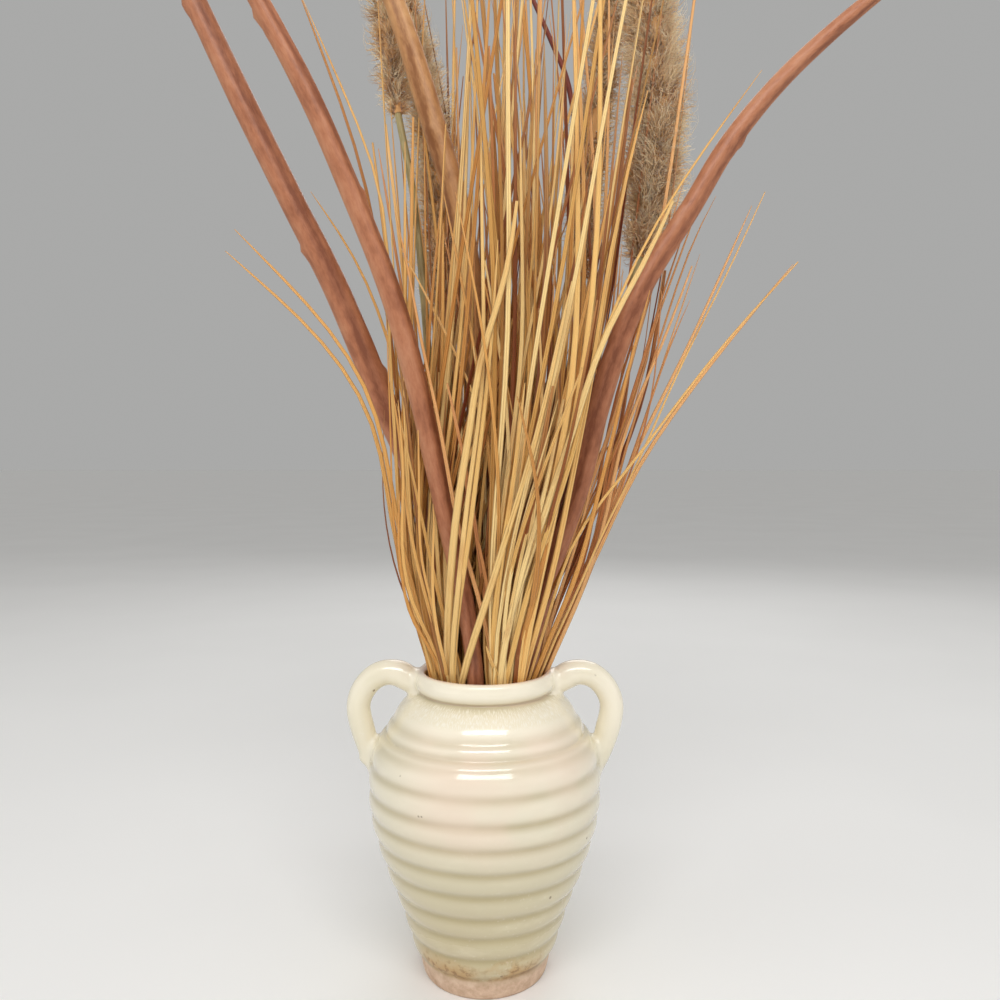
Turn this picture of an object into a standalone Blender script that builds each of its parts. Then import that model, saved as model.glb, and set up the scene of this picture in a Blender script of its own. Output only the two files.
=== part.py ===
# Dried grasses, reed plumes and painted branches, standing in a ringed pottery vase with two handles.
# Metres, +Z up. The origin is the centre of the vase's foot, and +Y is the back of the arrangement.

import math
import random

import bmesh
import bpy
import numpy as np
from mathutils import Matrix, Vector

# Vase: twelve thrown rings, two of them slight, between a collar and a plain foot
VASE_HEIGHT = 0.200
VASE_SIDES = 36
WALL = 0.0058
FLOOR_THICKNESS = 0.0090
FLOOR_RADIUS = 0.0330
MOUTH_RADIUS = 0.0394
RIM_ROUNDING = 0.0034
RIM_STEPS = 5
NECK_DROP = 0.0010
COLLAR_RADIUS = 0.0464
COLLAR_HEIGHTS = (0.1925, 0.1890)
COLLAR_TAPER = 0.0005
FOOT_RADIUS = 0.0410
FOOT_BAND = (0.0434, 0.0125)
FOOT_CHAMFER = 0.0015
VASE_CREASE = 55
RING_STEPS = 3
RING_BULGE = 0.12
RING_BULGE_MOST = 0.0030
GROOVES = [
    (0.0447, 0.1865),
    (0.0618, 0.1690),
    (0.0645, 0.1592),
    (0.0715, 0.1552),
    (0.0742, 0.1400),
    (0.0750, 0.1240),
    (0.0738, 0.1088),
    (0.0701, 0.0928),
    (0.0649, 0.0770),
    (0.0586, 0.0599),
    (0.0533, 0.0450),
    (0.0484, 0.0293),
    (0.0442, 0.0150),
]

# Handles: one side's middle line as (out from the axis, height), the other side mirrors it
HANDLE_RADIUS = 0.0074
HANDLE_ENDS = 1.14
HANDLE_THINS_OVER = (0.22, 0.80)
HANDLE_POINTS = 19
HANDLE_SINK = 0.0020
HANDLE_LINE = [
    (0.036, 0.1900),
    (0.046, 0.1935),
    (0.054, 0.1985),
    (0.062, 0.2005),
    (0.071, 0.1985),
    (0.079, 0.1910),
    (0.0838, 0.1790),
    (0.0826, 0.1660),
    (0.0784, 0.1525),
    (0.0730, 0.1405),
    (0.0668, 0.1300),
    (0.0600, 0.1205),
]

# Dry foam block that the stems stand in
FOAM_TOP = 0.170
FOAM_RADIUS = 0.0385
FOAM_FOOT_RADIUS = 0.0325
FOAM_TAPER_TOP = 0.045
FOAM_SIDES = 24
FIT = 0.0003
STEM_DEPTH = 0.060
STRAIGHT_ABOVE = 0.002
STEM_FOOT = FOAM_TOP - STEM_DEPTH
ROUND_SIDES = 8

# Branches: route above the foam, then radius at the foam, in the middle and at the tip
ARRANGEMENT_HEIGHT = 0.800
ROUTE_STEPS = 16
BRANCH_POINTS = 15
BRANCH_STATIONS = (0.0, 0.12, 0.45, 0.70, 0.92, 1.0)
BRANCH_TAPER = (0.92, 0.65)
BUD_LENGTH = 0.0075
BUD_RADIUS = 0.0035
BUD_ROOT = 0.0045
BUD_STAND = 0.0030
BUD_SIDES = 5
BUD_WIDEST = 0.8
BRANCHES = {
    "branch_1": {
        "route": [
            (-0.0150, -0.004, FOAM_TOP),
            (-0.0200, -0.004, 0.205),
            (-0.0280, -0.004, 0.255),
            (-0.0400, -0.004, 0.312),
            (-0.0650, -0.004, 0.374),
            (-0.0946, -0.010, 0.447),
            (-0.1228, -0.018, 0.505),
            (-0.1501, -0.025, 0.562),
            (-0.1760, -0.030, 0.618),
            (-0.2080, -0.036, 0.690),
            (-0.2340, -0.042, 0.752),
        ],
        "radii": (0.0060, 0.0082, 0.0034),
        "buds": [(0.42, 200), (0.55, 20), (0.70, 250), (0.78, 10), (0.86, 150)],
    },
    "branch_2": {
        "route": [
            (-0.0050, -0.024, FOAM_TOP),
            (-0.0060, -0.024, 0.205),
            (-0.0116, -0.025, 0.247),
            (-0.0220, -0.028, 0.295),
            (-0.0311, -0.031, 0.338),
            (-0.0417, -0.035, 0.387),
            (-0.0568, -0.040, 0.441),
            (-0.0784, -0.046, 0.497),
            (-0.1011, -0.054, 0.550),
            (-0.1281, -0.062, 0.601),
            (-0.1640, -0.070, 0.664),
            (-0.1980, -0.078, 0.722),
        ],
        "radii": (0.0050, 0.0071, 0.0026),
        "buds": [(0.21, 280), (0.26, 240), (0.45, 80), (0.60, 200), (0.77, 0), (0.88, 170)],
    },
    "branch_3": {
        "route": [
            (-0.0010, 0.006, FOAM_TOP),
            (-0.0015, 0.008, 0.217),
            (-0.0029, 0.009, 0.278),
            (-0.0055, 0.011, 0.370),
            (-0.0095, 0.013, 0.450),
            (-0.0190, 0.014, 0.510),
            (-0.0345, 0.015, 0.562),
            (-0.0500, 0.016, 0.613),
            (-0.0680, 0.016, 0.662),
            (-0.0930, 0.014, 0.720),
            (-0.1160, 0.012, 0.768),
        ],
        "radii": (0.0050, 0.0071, 0.0030),
        "buds": [(0.50, 260), (0.66, 60), (0.75, 300), (0.90, 200)],
    },
    "branch_4": {
        "route": [
            (0.0130, 0.029, FOAM_TOP),
            (0.0200, 0.034, 0.215),
            (0.0400, 0.050, 0.290),
            (0.0560, 0.064, 0.360),
            (0.0670, 0.076, 0.440),
            (0.0715, 0.085, 0.520),
            (0.0690, 0.091, 0.575),
            (0.0610, 0.095, 0.624),
            (0.0490, 0.099, 0.656),
            (0.0350, 0.104, 0.690),
            (0.0180, 0.108, 0.728),
        ],
        "radii": (0.0030, 0.0027, 0.0014),
        "buds": [(0.62, 30), (0.74, 200), (0.88, 100)],
    },
    "branch_5": {
        "route": [
            (0.0230, -0.010, FOAM_TOP),
            (0.0290, -0.012, 0.205),
            (0.0409, -0.014, 0.261),
            (0.0600, -0.016, 0.319),
            (0.0715, -0.018, 0.368),
            (0.0838, -0.020, 0.409),
            (0.1011, -0.020, 0.450),
            (0.1290, -0.020, 0.495),
            (0.1549, -0.020, 0.538),
            (0.1906, -0.020, 0.580),
            (0.2396, -0.020, 0.6235),
            (0.2840, -0.020, 0.656),
        ],
        "radii": (0.0054, 0.0078, 0.0024),
        "buds": [(0.52, 330), (0.63, 40), (0.72, 180), (0.80, 100), (0.90, 280)],
    },
}

# Reeds: the stalk's route up from the foam, then the plume's middle line and its furthest reach
STALK_RADIUS = 0.0030
STALK_TIP_RADIUS = 0.0024
STALK_POINTS = 10
STALK_STRAIGHT = 0.004
PLUME_POINTS = 8
PLUME_SEAT = 0.012
PLUME_CORE = 0.46
PLUME_FOOT_RADIUS = 0.0050
PLUME_STATIONS = (0.0, 0.12, 0.35, 0.75, 1.0)
PLUME_REACH = (0.55, 0.90, 1.0, 0.85, 0.45)
SOCKET_SIDES = 6
SOCKET_BELOW = 0.010
FLUFF_FROM = 0.06
FLUFF_WIDTH = 0.38
FLUFF_ROOT = 0.45
FLUFF_LEAN = (28, 40)
FLUFF_STRAY = 12
FLUFF_LONGEST = 0.030
FLUFF_TOP_FROM = 0.93
FLUFF_TOP_LEAN = 0.25
FLUFF_TOP_LENGTH = 0.020
REEDS = {
    "1": {
        "stalk": [
            (-0.0070, 0.021, FOAM_TOP),
            (-0.0100, 0.028, 0.230),
            (-0.0180, 0.042, 0.320),
            (-0.0260, 0.054, 0.400),
        ],
        "plume": [
            (-0.0280, 0.058, 0.428),
            (-0.0324, 0.067, 0.485),
            (-0.0387, 0.076, 0.567),
            (-0.0530, 0.082, 0.642),
            (-0.0660, 0.085, 0.700),
        ],
        "reach": 0.0160,
        "tufts": 40,
    },
    "2": {
        "stalk": [
            (-0.0240, 0.017, FOAM_TOP),
            (-0.0280, 0.020, 0.230),
            (-0.0340, 0.026, 0.330),
            (-0.0427, 0.034, 0.449),
            (-0.0500, 0.040, 0.520),
        ],
        "plume": [
            (-0.0610, 0.044, 0.580),
            (-0.0655, 0.047, 0.615),
            (-0.0700, 0.051, 0.670),
            (-0.0740, 0.055, 0.730),
            (-0.0790, 0.058, 0.775),
        ],
        "reach": 0.0130,
        "tufts": 28,
    },
    "3": {
        "stalk": [
            (0.0120, 0.016, FOAM_TOP),
            (0.0220, 0.022, 0.230),
            (0.0440, 0.033, 0.330),
            (0.0620, 0.043, 0.420),
        ],
        "plume": [
            (0.0680, 0.050, 0.468),
            (0.0715, 0.057, 0.525),
            (0.0790, 0.062, 0.590),
            (0.0880, 0.064, 0.650),
            (0.0960, 0.066, 0.715),
        ],
        "reach": 0.0125,
        "tufts": 34,
    },
    "4": {
        "stalk": [
            (0.0240, 0.012, FOAM_TOP),
            (0.0340, 0.013, 0.230),
            (0.0605, 0.016, 0.338),
            (0.0870, 0.020, 0.420),
        ],
        "plume": [
            (0.1050, 0.024, 0.476),
            (0.1131, 0.026, 0.520),
            (0.1158, 0.027, 0.570),
            (0.1125, 0.027, 0.625),
            (0.1040, 0.027, 0.680),
            (0.0960, 0.027, 0.720),
        ],
        "reach": 0.0225,
        "tufts": 46,
    },
}

# Grass: each tuft's middle where it enters the foam, and its colour
TUFT_BUTT_RADIUS = 0.0046
TUFT_BUTT_TOP = FOAM_TOP + 0.012
TUFT_FOOT = FOAM_TOP - 0.022
BLADES_EACH = 12
BLADE_ROOT = FOAM_TOP + 0.001
BLADE_WIDTHS = (0.0024, 0.0046)
BLADE_THICKNESS = 0.36
BLADE_TIP_SCALE = 0.60
BLADE_HEIGHTS = (0.16, 0.42, 0.70, 1.0)
BLADE_TURN = 0.7
DRIFT_POWER = 1.5
SHORTEST_TIP = 0.370
USUAL_TIP = 0.560
LONGEST_TIP = 0.785
WANDER = 0.022
CELL = 0.0080
ROOT_CELL = 0.0030
MOUTH_SPREAD = 1.05
STRAY_ANGLE = 0.4
GOLDEN_TURN = 137.5
TUFTS = {
    "grass_tuft_01": (-0.0270, -0.0120, "straw_gold"),
    "grass_tuft_02": (-0.0180, -0.0220, "straw_pale"),
    "grass_tuft_03": (0.0080, -0.0280, "straw_pale"),
    "grass_tuft_04": (0.0190, -0.0240, "straw_gold"),
    "grass_tuft_05": (0.0295, 0.0020, "straw_rust"),
    "grass_tuft_06": (0.0080, -0.0100, "straw_rust"),
    "grass_tuft_07": (-0.0035, -0.0095, "straw_pale"),
    "grass_tuft_08": (0.0120, 0.0030, "straw_gold"),
    "grass_tuft_09": (0.0020, 0.0190, "straw_pale"),
    "grass_tuft_10": (-0.0140, 0.0095, "straw_rust"),
    "grass_tuft_11": (-0.0280, 0.0030, "straw_gold"),
    "grass_tuft_12": (0.0020, 0.0310, "straw_pale"),
    "grass_tuft_13": (-0.0155, 0.0275, "straw_gold"),
    "grass_tuft_14": (0.0230, 0.0210, "straw_rust"),
}

# The bundle's outline: height, middle in x, half width
BUNDLE = np.array([
    (0.200, 0.000, 0.0350),
    (0.246, -0.002, 0.0510),
    (0.312, 0.009, 0.0700),
    (0.378, 0.019, 0.0830),
    (0.443, 0.024, 0.0900),
    (0.540, 0.028, 0.0980),
    (0.634, 0.032, 0.1070),
    (0.800, 0.036, 0.1180),
])

# Long blades that leave the bundle, from the mouth to their tips
STRAYS = {
    "grass_tuft_01": [
        [(-0.0330, -0.014, 0.200), (-0.056, -0.024, 0.285), (-0.068, -0.030, 0.360),
         (-0.100, -0.034, 0.412), (-0.157, -0.038, 0.465)],
        [(-0.0310, -0.017, 0.200), (-0.052, -0.028, 0.285), (-0.066, -0.036, 0.368),
         (-0.094, -0.040, 0.418), (-0.149, -0.045, 0.476)],
    ],
    "grass_tuft_11": [
        [(-0.0320, 0.006, 0.200), (-0.050, 0.012, 0.300), (-0.066, 0.016, 0.440),
         (-0.084, 0.018, 0.540), (-0.128, 0.020, 0.660)],
    ],
    "grass_tuft_05": [
        [(0.0345, 0.000, 0.200), (0.072, -0.004, 0.272), (0.098, -0.008, 0.332),
         (0.144, -0.010, 0.398), (0.197, -0.012, 0.463)],
        [(0.0340, 0.005, 0.200), (0.070, 0.006, 0.272), (0.096, 0.007, 0.336),
         (0.134, 0.008, 0.412), (0.176, 0.008, 0.506)],
    ],
    "grass_tuft_14": [
        [(0.0270, 0.0240, 0.200), (0.062, 0.045, 0.300), (0.095, 0.070, 0.400),
         (0.138, 0.098, 0.500), (0.182, 0.124, 0.575)],
    ],
    "grass_tuft_13": [
        [(-0.0180, 0.0310, 0.200), (-0.044, 0.060, 0.300), (-0.066, 0.086, 0.400),
         (-0.100, 0.120, 0.490), (-0.146, 0.150, 0.560)],
    ],
}

# Clearances between pieces, tested at each level
LEVEL_STEP = 0.003
LEVELS = np.arange(FOAM_TOP + 0.001, ARRANGEMENT_HEIGHT + 0.020, LEVEL_STEP)
GAP = 0.0006
MEETING_TOP = 0.198
OWN_SHARE = 0.55
TRIES = 400
RANDOM_START = 20


def linear(red, green, blue):
    """A colour picked by eye in 0 to 255, as the linear values that a shader takes."""
    return tuple((c / 255) ** 2.2 for c in (red, green, blue)) + (1.0,)


FINISHES = {
    "cream_glaze": (linear(236, 227, 204), 0.22),
    "dry_foam": (linear(112, 124, 84), 0.95),
    "terracotta_paint": (linear(166, 102, 74), 0.62),
    "tan_paint": (linear(186, 146, 104), 0.62),
    "dark_bark": (linear(120, 62, 48), 0.70),
    "reed_stalk": (linear(164, 152, 112), 0.60),
    "reed_fluff": (linear(172, 134, 88), 0.95),
    "straw_pale": (linear(226, 196, 134), 0.50),
    "straw_gold": (linear(205, 158, 90), 0.50),
    "straw_rust": (linear(170, 108, 62), 0.55),
}


def clear_scene():
    for obj in list(bpy.data.objects):
        bpy.data.objects.remove(obj, do_unlink=True)


def new_collection(name, parent=None):
    collection = bpy.data.collections.new(name)
    (parent or bpy.context.scene.collection).children.link(collection)
    return collection


def finish(name):
    material = bpy.data.materials.get(name)
    if material is None:
        colour, roughness = FINISHES[name]
        material = bpy.data.materials.new(name)
        material.use_nodes = True
        shader = material.node_tree.nodes["Principled BSDF"]
        shader.inputs["Base Color"].default_value = colour
        shader.inputs["Roughness"].default_value = roughness
        shader.inputs["Metallic"].default_value = 0.0
    return material


def baked(obj):
    """Replaces an object's data with its mesh after modifiers, welded, with its faces pointing out."""
    bpy.context.view_layer.update()
    evaluated = obj.evaluated_get(bpy.context.evaluated_depsgraph_get())
    mesh = bpy.data.meshes.new_from_object(evaluated)
    bm = bmesh.new()
    bm.from_mesh(mesh)
    bmesh.ops.remove_doubles(bm, verts=bm.verts, dist=1e-6)
    bmesh.ops.recalc_face_normals(bm, faces=bm.faces)
    bm.to_mesh(mesh)
    bm.free()
    solid = bpy.data.objects.new(obj.name + "_solid", mesh)
    solid.matrix_world = obj.matrix_world.copy()
    for collection in obj.users_collection:
        collection.objects.link(solid)
    name = obj.name
    bpy.data.objects.remove(obj, do_unlink=True)
    solid.name = name
    return solid


def boolean(target, operation, tool=None, group=None):
    """Applies one Boolean to the target and removes the tool, or every object of the group."""
    change = target.modifiers.new(operation.title(), "BOOLEAN")
    change.operation = operation
    if group:
        change.operand_type = "COLLECTION"
        change.collection = group
    else:
        change.object = tool
    result = baked(target)
    for used in list(group.objects) if group else [tool]:
        bpy.data.objects.remove(used, do_unlink=True)
    if group:
        bpy.data.collections.remove(group)
    return result


def one_body(obj):
    """Drops the scraps that fusing leaves, and fills its pockets, by keeping the largest shell."""
    bm = bmesh.new()
    bm.from_mesh(obj.data)
    left = set(bm.faces)
    shells = []
    while left:
        shell = [left.pop()]
        for face in shell:
            joints = [edge for edge in face.edges if len(edge.link_faces) == 2]
            near = {other for edge in joints for other in edge.link_faces} & left
            left -= near
            shell.extend(near)
        shells.append(shell)
    shells.sort(key=len)
    for shell in shells[:-1]:
        bmesh.ops.delete(bm, geom=shell, context="FACES")
    bm.to_mesh(obj.data)
    bm.free()
    return obj


def turned(name, profile, sides, home):
    """A solid of revolution from a profile that runs from the axis out, down its outer side and back."""
    mesh = bpy.data.meshes.new(name)
    verts = [(radius, 0.0, height) for radius, height in profile]
    mesh.from_pydata(verts, [(i, i + 1) for i in range(len(verts) - 1)], [])
    obj = bpy.data.objects.new(name, mesh)
    home.objects.link(obj)
    screw = obj.modifiers.new("Turn", "SCREW")
    screw.steps = sides
    screw.render_steps = sides
    screw.use_merge_vertices = True
    screw.merge_threshold = 0.00001
    return baked(obj)


def smooth_route(points, count):
    """Count points, evenly spaced along a smooth curve through the given ones."""
    knots = [Vector(p) for p in points]
    knots = [2 * knots[0] - knots[1]] + knots + [2 * knots[-1] - knots[-2]]
    fine = []
    for a, b, c, d in zip(knots, knots[1:], knots[2:], knots[3:]):
        for i in range(ROUTE_STEPS):
            t = i / ROUTE_STEPS
            fine.append(0.5 * (2 * b + (c - a) * t + (2 * a - 5 * b + 4 * c - d) * t ** 2
                               + (3 * b - a - 3 * c + d) * t ** 3))
    fine.append(knots[-2])
    fine = np.array(fine)
    along = np.concatenate([[0.0], np.cumsum(np.linalg.norm(np.diff(fine, axis=0), axis=1))])
    wanted = np.linspace(0.0, along[-1], count)
    return np.stack([np.interp(wanted, along, fine[:, i]) for i in range(3)], axis=1)


def sweep(name, points, radii, home, resolution=2, section=None, tilt=0.0):
    """A closed mesh swept along the points, round or with the given section, scaled by the radii."""
    curve = bpy.data.curves.new(name, "CURVE")
    curve.dimensions = "3D"
    curve.twist_mode = "MINIMUM"
    curve.use_fill_caps = True
    if section:
        curve.bevel_mode = "OBJECT"
        curve.bevel_object = section
    else:
        curve.bevel_depth = 1.0
        curve.bevel_resolution = resolution
    spline = curve.splines.new("POLY")
    spline.points.add(len(points) - 1)
    for point, place, radius in zip(spline.points, points, radii):
        point.co = (*place, 1.0)
        point.radius = radius
        point.tilt = tilt
    obj = bpy.data.objects.new(name, curve)
    home.objects.link(obj)
    return baked(obj)


def round_bar(name, radius, bottom, top, home, at=(0.0, 0.0), sides=ROUND_SIDES):
    bm = bmesh.new()
    place = Matrix.Translation((at[0], at[1], (bottom + top) / 2))
    bmesh.ops.create_cone(bm, cap_ends=True, segments=sides, radius1=radius, radius2=radius,
                          depth=top - bottom, matrix=place)
    mesh = bpy.data.meshes.new(name)
    bm.to_mesh(mesh)
    bm.free()
    obj = bpy.data.objects.new(name, mesh)
    home.objects.link(obj)
    return obj


def pointed(name, base_radius, length, foot, direction, home, sides=3, turn=0.0):
    """A cone from its foot along a direction."""
    bm = bmesh.new()
    place = (Matrix.Translation(Vector(foot) + Vector(direction) * length / 2)
             @ Vector(direction).to_track_quat("Z", "Y").to_matrix().to_4x4()
             @ Matrix.Rotation(turn, 4, "Z"))
    bmesh.ops.create_cone(bm, cap_ends=True, segments=sides, radius1=base_radius, radius2=0.0,
                          depth=length, matrix=place)
    mesh = bpy.data.meshes.new(name)
    bm.to_mesh(mesh)
    bm.free()
    obj = bpy.data.objects.new(name, mesh)
    home.objects.link(obj)
    return obj


def dressed(obj, name, material, smooth=True, crease=40):
    """Names a finished piece, gives it its finish and shades it."""
    obj.name = name
    obj.data.name = name
    obj.data.materials.clear()
    obj.data.materials.append(finish(material))
    if smooth:
        obj.data.shade_smooth()
        obj.data.set_sharp_from_angle(angle=math.radians(crease))
    return obj


def ring_profile():
    """The body's outline from the neck down to the foot, bulging between each two grooves."""
    points = [GROOVES[0]]
    for upper, lower in zip(GROOVES, GROOVES[1:]):
        step = Vector(lower) - Vector(upper)
        out = Vector((-step.y, step.x)).normalized()
        bulge = min(RING_BULGE * step.length, RING_BULGE_MOST)
        for i in range(1, RING_STEPS + 1):
            t = i / RING_STEPS
            points.append(tuple(Vector(upper) + step * t + out * bulge * 4 * t * (1 - t)))
    return points


def inner_profile(extra=0.0):
    """The hollow's outline from the floor up to the mouth, moved out into the wall by extra."""
    floor = FLOOR_THICKNESS - extra
    points = [(0.0, floor), (FLOOR_RADIUS + extra, floor)]
    points += [(radius - WALL + extra, height) for radius, height in reversed(GROOVES[1:])]
    points += [(MOUTH_RADIUS + extra, GROOVES[0][1] - NECK_DROP)]
    return points


def make_vase(home, cutters):
    crest = (MOUTH_RADIUS + RIM_ROUNDING, VASE_HEIGHT - RIM_ROUNDING)
    rim = []
    for i in range(RIM_STEPS + 1):
        angle = math.pi * (1 - i / RIM_STEPS)
        rim.append((crest[0] + RIM_ROUNDING * math.cos(angle), crest[1] + RIM_ROUNDING * math.sin(angle)))
    collar = [(COLLAR_RADIUS, COLLAR_HEIGHTS[0]), (COLLAR_RADIUS - COLLAR_TAPER, COLLAR_HEIGHTS[1])]
    foot = [
        FOOT_BAND,
        (FOOT_RADIUS, FOOT_CHAMFER),
        (FOOT_RADIUS - FOOT_CHAMFER, 0.0),
        (0.0, 0.0),
    ]
    vase = turned("vase", inner_profile() + rim + collar + ring_profile() + foot, VASE_SIDES, home)
    ends = np.interp(np.linspace(0, 1, HANDLE_POINTS),
                     [0, *HANDLE_THINS_OVER, 1], [HANDLE_ENDS, 1, 1, HANDLE_ENDS])
    for side in (-1, 1):
        line = smooth_route([(side * out, 0.0, height) for out, height in HANDLE_LINE], HANDLE_POINTS)
        handle = sweep("handle", line, ends * HANDLE_RADIUS, cutters)
        above = VASE_HEIGHT + 2 * HANDLE_RADIUS
        inside = turned("inside", [(0.0, above), (MOUTH_RADIUS + HANDLE_SINK, above)]
                        + inner_profile(HANDLE_SINK)[::-1], VASE_SIDES, cutters)
        handle = boolean(handle, "DIFFERENCE", inside)
        vase = boolean(vase, "UNION", handle)
    return dressed(vase, "vase", "cream_glaze", crease=VASE_CREASE)


def stem_hole(radius, at, cutters, foot=STEM_FOOT):
    """A cutter for a plain hole whose flat sides all clear a stem of this radius."""
    wide = (radius + FIT) / math.cos(math.pi / ROUND_SIDES)
    return round_bar("hole", wide, foot - FIT, FOAM_TOP + 0.01, cutters, at)


def make_foam(home, holes):
    profile = [
        (0.0, FOAM_TOP),
        (FOAM_RADIUS, FOAM_TOP),
        (FOAM_RADIUS, FOAM_TAPER_TOP),
        (FOAM_FOOT_RADIUS, FLOOR_THICKNESS + FIT),
        (0.0, FLOOR_THICKNESS + FIT),
    ]
    foam = turned("dry_foam", profile, FOAM_SIDES, home)
    return dressed(boolean(foam, "DIFFERENCE", group=holes), "dry_foam", "dry_foam", smooth=False)


def stem_route(route, count):
    """A route that stands straight in the foam, up to a little above it."""
    x, y, _ = route[0]
    above = smooth_route([(x, y, FOAM_TOP + STRAIGHT_ABOVE)] + list(route[1:]), count - 1)
    return np.vstack([[(x, y, STEM_FOOT)], above])


def across(direction, degrees):
    """The unit vector square to a direction, at a bearing round it."""
    direction = Vector(direction).normalized()
    side = direction.cross(Vector((0.0, 1.0, 0.0))).normalized()
    front = side.cross(direction)
    return side * math.cos(math.radians(degrees)) + front * math.sin(math.radians(degrees))


def make_branch(name, spec, material, home, claims):
    points = stem_route(spec["route"], BRANCH_POINTS)
    foot, middle, tip = spec["radii"]
    part = np.linspace(0.0, 1.0, BRANCH_POINTS)
    radii = np.interp(part, BRANCH_STATIONS,
                      [foot, foot, middle, BRANCH_TAPER[0] * middle, BRANCH_TAPER[1] * middle, tip])
    branch = sweep(name, points, radii, home)
    buds = new_collection("buds", home)
    for i, (where, bearing) in enumerate(spec["buds"]):
        index = where * (BRANCH_POINTS - 1)
        here = int(index)
        place = Vector(points[here]).lerp(Vector(points[here + 1]), index - here)
        along = Vector(points[here + 1] - points[here]).normalized()
        radius = float(np.interp(where, part, radii))
        out = across(along, bearing)
        pointed(f"bud_{i}", min(BUD_RADIUS, BUD_WIDEST * radius), BUD_LENGTH,
                place + out * (radius - BUD_ROOT), out * 0.8 + along * 0.6, buds, BUD_SIDES)
    branch = boolean(branch, "UNION", group=buds)
    claims.add(name, points, radii + min(BUD_STAND, BUD_WIDEST * middle))
    return dressed(branch, name, material)


def make_reed(number, spec, home, claims, rng):
    """A stalk, and the fluffy plume that it carries in a plain socket."""
    stalk_name = f"reed_stalk_{number}"
    plume_name = f"reed_plume_{number}"
    plume = smooth_route(spec["plume"], PLUME_POINTS)
    up = Vector(plume[1] - plume[0]).normalized()
    seat = Vector(plume[0]) + up * PLUME_SEAT
    below = Vector(plume[0]) - up * STALK_STRAIGHT
    stalk = np.vstack([stem_route(spec["stalk"] + [tuple(below)], STALK_POINTS - 1), [tuple(seat)]])
    thick = np.linspace(STALK_RADIUS, STALK_TIP_RADIUS, STALK_POINTS)
    dressed(sweep(stalk_name, stalk, thick, home, resolution=1), stalk_name, "reed_stalk")
    claims.add(stalk_name, stalk, thick)

    part = np.linspace(0.0, 1.0, len(plume))
    reach = spec["reach"] * np.interp(part, PLUME_STATIONS, PLUME_REACH)
    core = np.maximum(reach * PLUME_CORE, PLUME_FOOT_RADIUS * (1 - 0.5 * part))
    head = sweep(plume_name, plume, core, home, resolution=1)
    socket = round_bar("socket", (STALK_TIP_RADIUS + 2 * FIT) / math.cos(math.pi / SOCKET_SIDES),
                       -SOCKET_BELOW, PLUME_SEAT + FIT, home, sides=SOCKET_SIDES)
    socket.matrix_world = Matrix.Translation(plume[0]) @ up.to_track_quat("Z", "Y").to_matrix().to_4x4()
    tufts = new_collection("tufts", home)
    for i in range(spec["tufts"]):
        t = FLUFF_FROM + (1 - FLUFF_FROM) * (i + 0.5) / spec["tufts"]
        index = min(t * (len(plume) - 1), len(plume) - 1.001)
        here = int(index)
        place = Vector(plume[here]).lerp(Vector(plume[here + 1]), index - here)
        along = Vector(plume[here + 1] - plume[here]).normalized()
        local = float(np.interp(t, part, reach))
        inner = float(np.interp(t, part, core))
        bearing = i * GOLDEN_TURN + rng.uniform(-FLUFF_STRAY, FLUFF_STRAY)
        lean = math.radians(rng.uniform(*FLUFF_LEAN))
        out = across(along, bearing)
        way = (out * math.sin(lean) + along * math.cos(lean)).normalized()
        foot = place + out * inner * FLUFF_ROOT
        length = min((local - inner * FLUFF_ROOT) / math.sin(lean), FLUFF_LONGEST)
        if t > FLUFF_TOP_FROM:
            way = (out * FLUFF_TOP_LEAN + along).normalized()
            length = FLUFF_TOP_LENGTH
        pointed(f"tuft_{i}", FLUFF_WIDTH * local, length, foot, way, tufts, turn=rng.uniform(0, 2))
    head = boolean(head, "UNION", group=tufts)
    head = one_body(boolean(head, "DIFFERENCE", socket))
    top = Vector(plume[-1]) + Vector(plume[-1] - plume[-2]).normalized() * FLUFF_TOP_LENGTH
    claims.add(plume_name, np.vstack([plume, [tuple(top)]]), np.append(reach, reach[-1]) + GAP)
    dressed(head, plume_name, "reed_fluff", smooth=False)


class Claims:
    """The room that each piece takes, as a centre and a reach at each level."""

    def __init__(self):
        self.owners = []
        self.places = []
        self.reaches = []

    def room(self, points, radii):
        points = np.array(points)
        heights = points[:, 2]
        place = np.stack([np.interp(LEVELS, heights, points[:, i]) for i in range(2)], axis=1)
        outside = (LEVELS < heights[0] - LEVEL_STEP) | (LEVELS > heights[-1] + LEVEL_STEP)
        lean = np.linalg.norm(np.gradient(place, LEVEL_STEP, axis=0), axis=1)
        reach = np.interp(LEVELS, heights, radii) * np.sqrt(1 + lean ** 2)
        place[outside] = np.nan
        return place, reach

    def add(self, owner, points, radii):
        place, reach = self.room(points, radii)
        self.owners.append(owner)
        self.places.append(place)
        self.reaches.append(reach)

    def is_clear(self, owner, points, radii):
        place, reach = self.room(points, radii)
        apart = np.linalg.norm(np.array(self.places) - place, axis=2)
        needed = np.array(self.reaches) + reach + GAP
        own = np.array([name == owner for name in self.owners])
        needed[own] *= np.where(LEVELS < MEETING_TOP, 0.0, OWN_SHARE)
        return not np.any(apart < needed)


def blade_route(root, mouth, tip_height, wander):
    """A blade from its root through the mouth, spreading with the bundle up to its tip."""
    climb = tip_height - VASE_HEIGHT
    across_x = mouth[0] / BUNDLE[0, 2]
    across_y = mouth[1] / BUNDLE[0, 2]
    points = [(root[0], root[1], BLADE_ROOT), (mouth[0], mouth[1], VASE_HEIGHT)]
    for share in BLADE_HEIGHTS:
        height = VASE_HEIGHT + share * climb
        middle = np.interp(height, BUNDLE[:, 0], BUNDLE[:, 1])
        spread = np.interp(height, BUNDLE[:, 0], BUNDLE[:, 2])
        drift = share ** DRIFT_POWER
        points.append((middle + spread * across_x + wander[0] * drift,
                       spread * across_y + wander[1] * drift, height))
    return points


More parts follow.
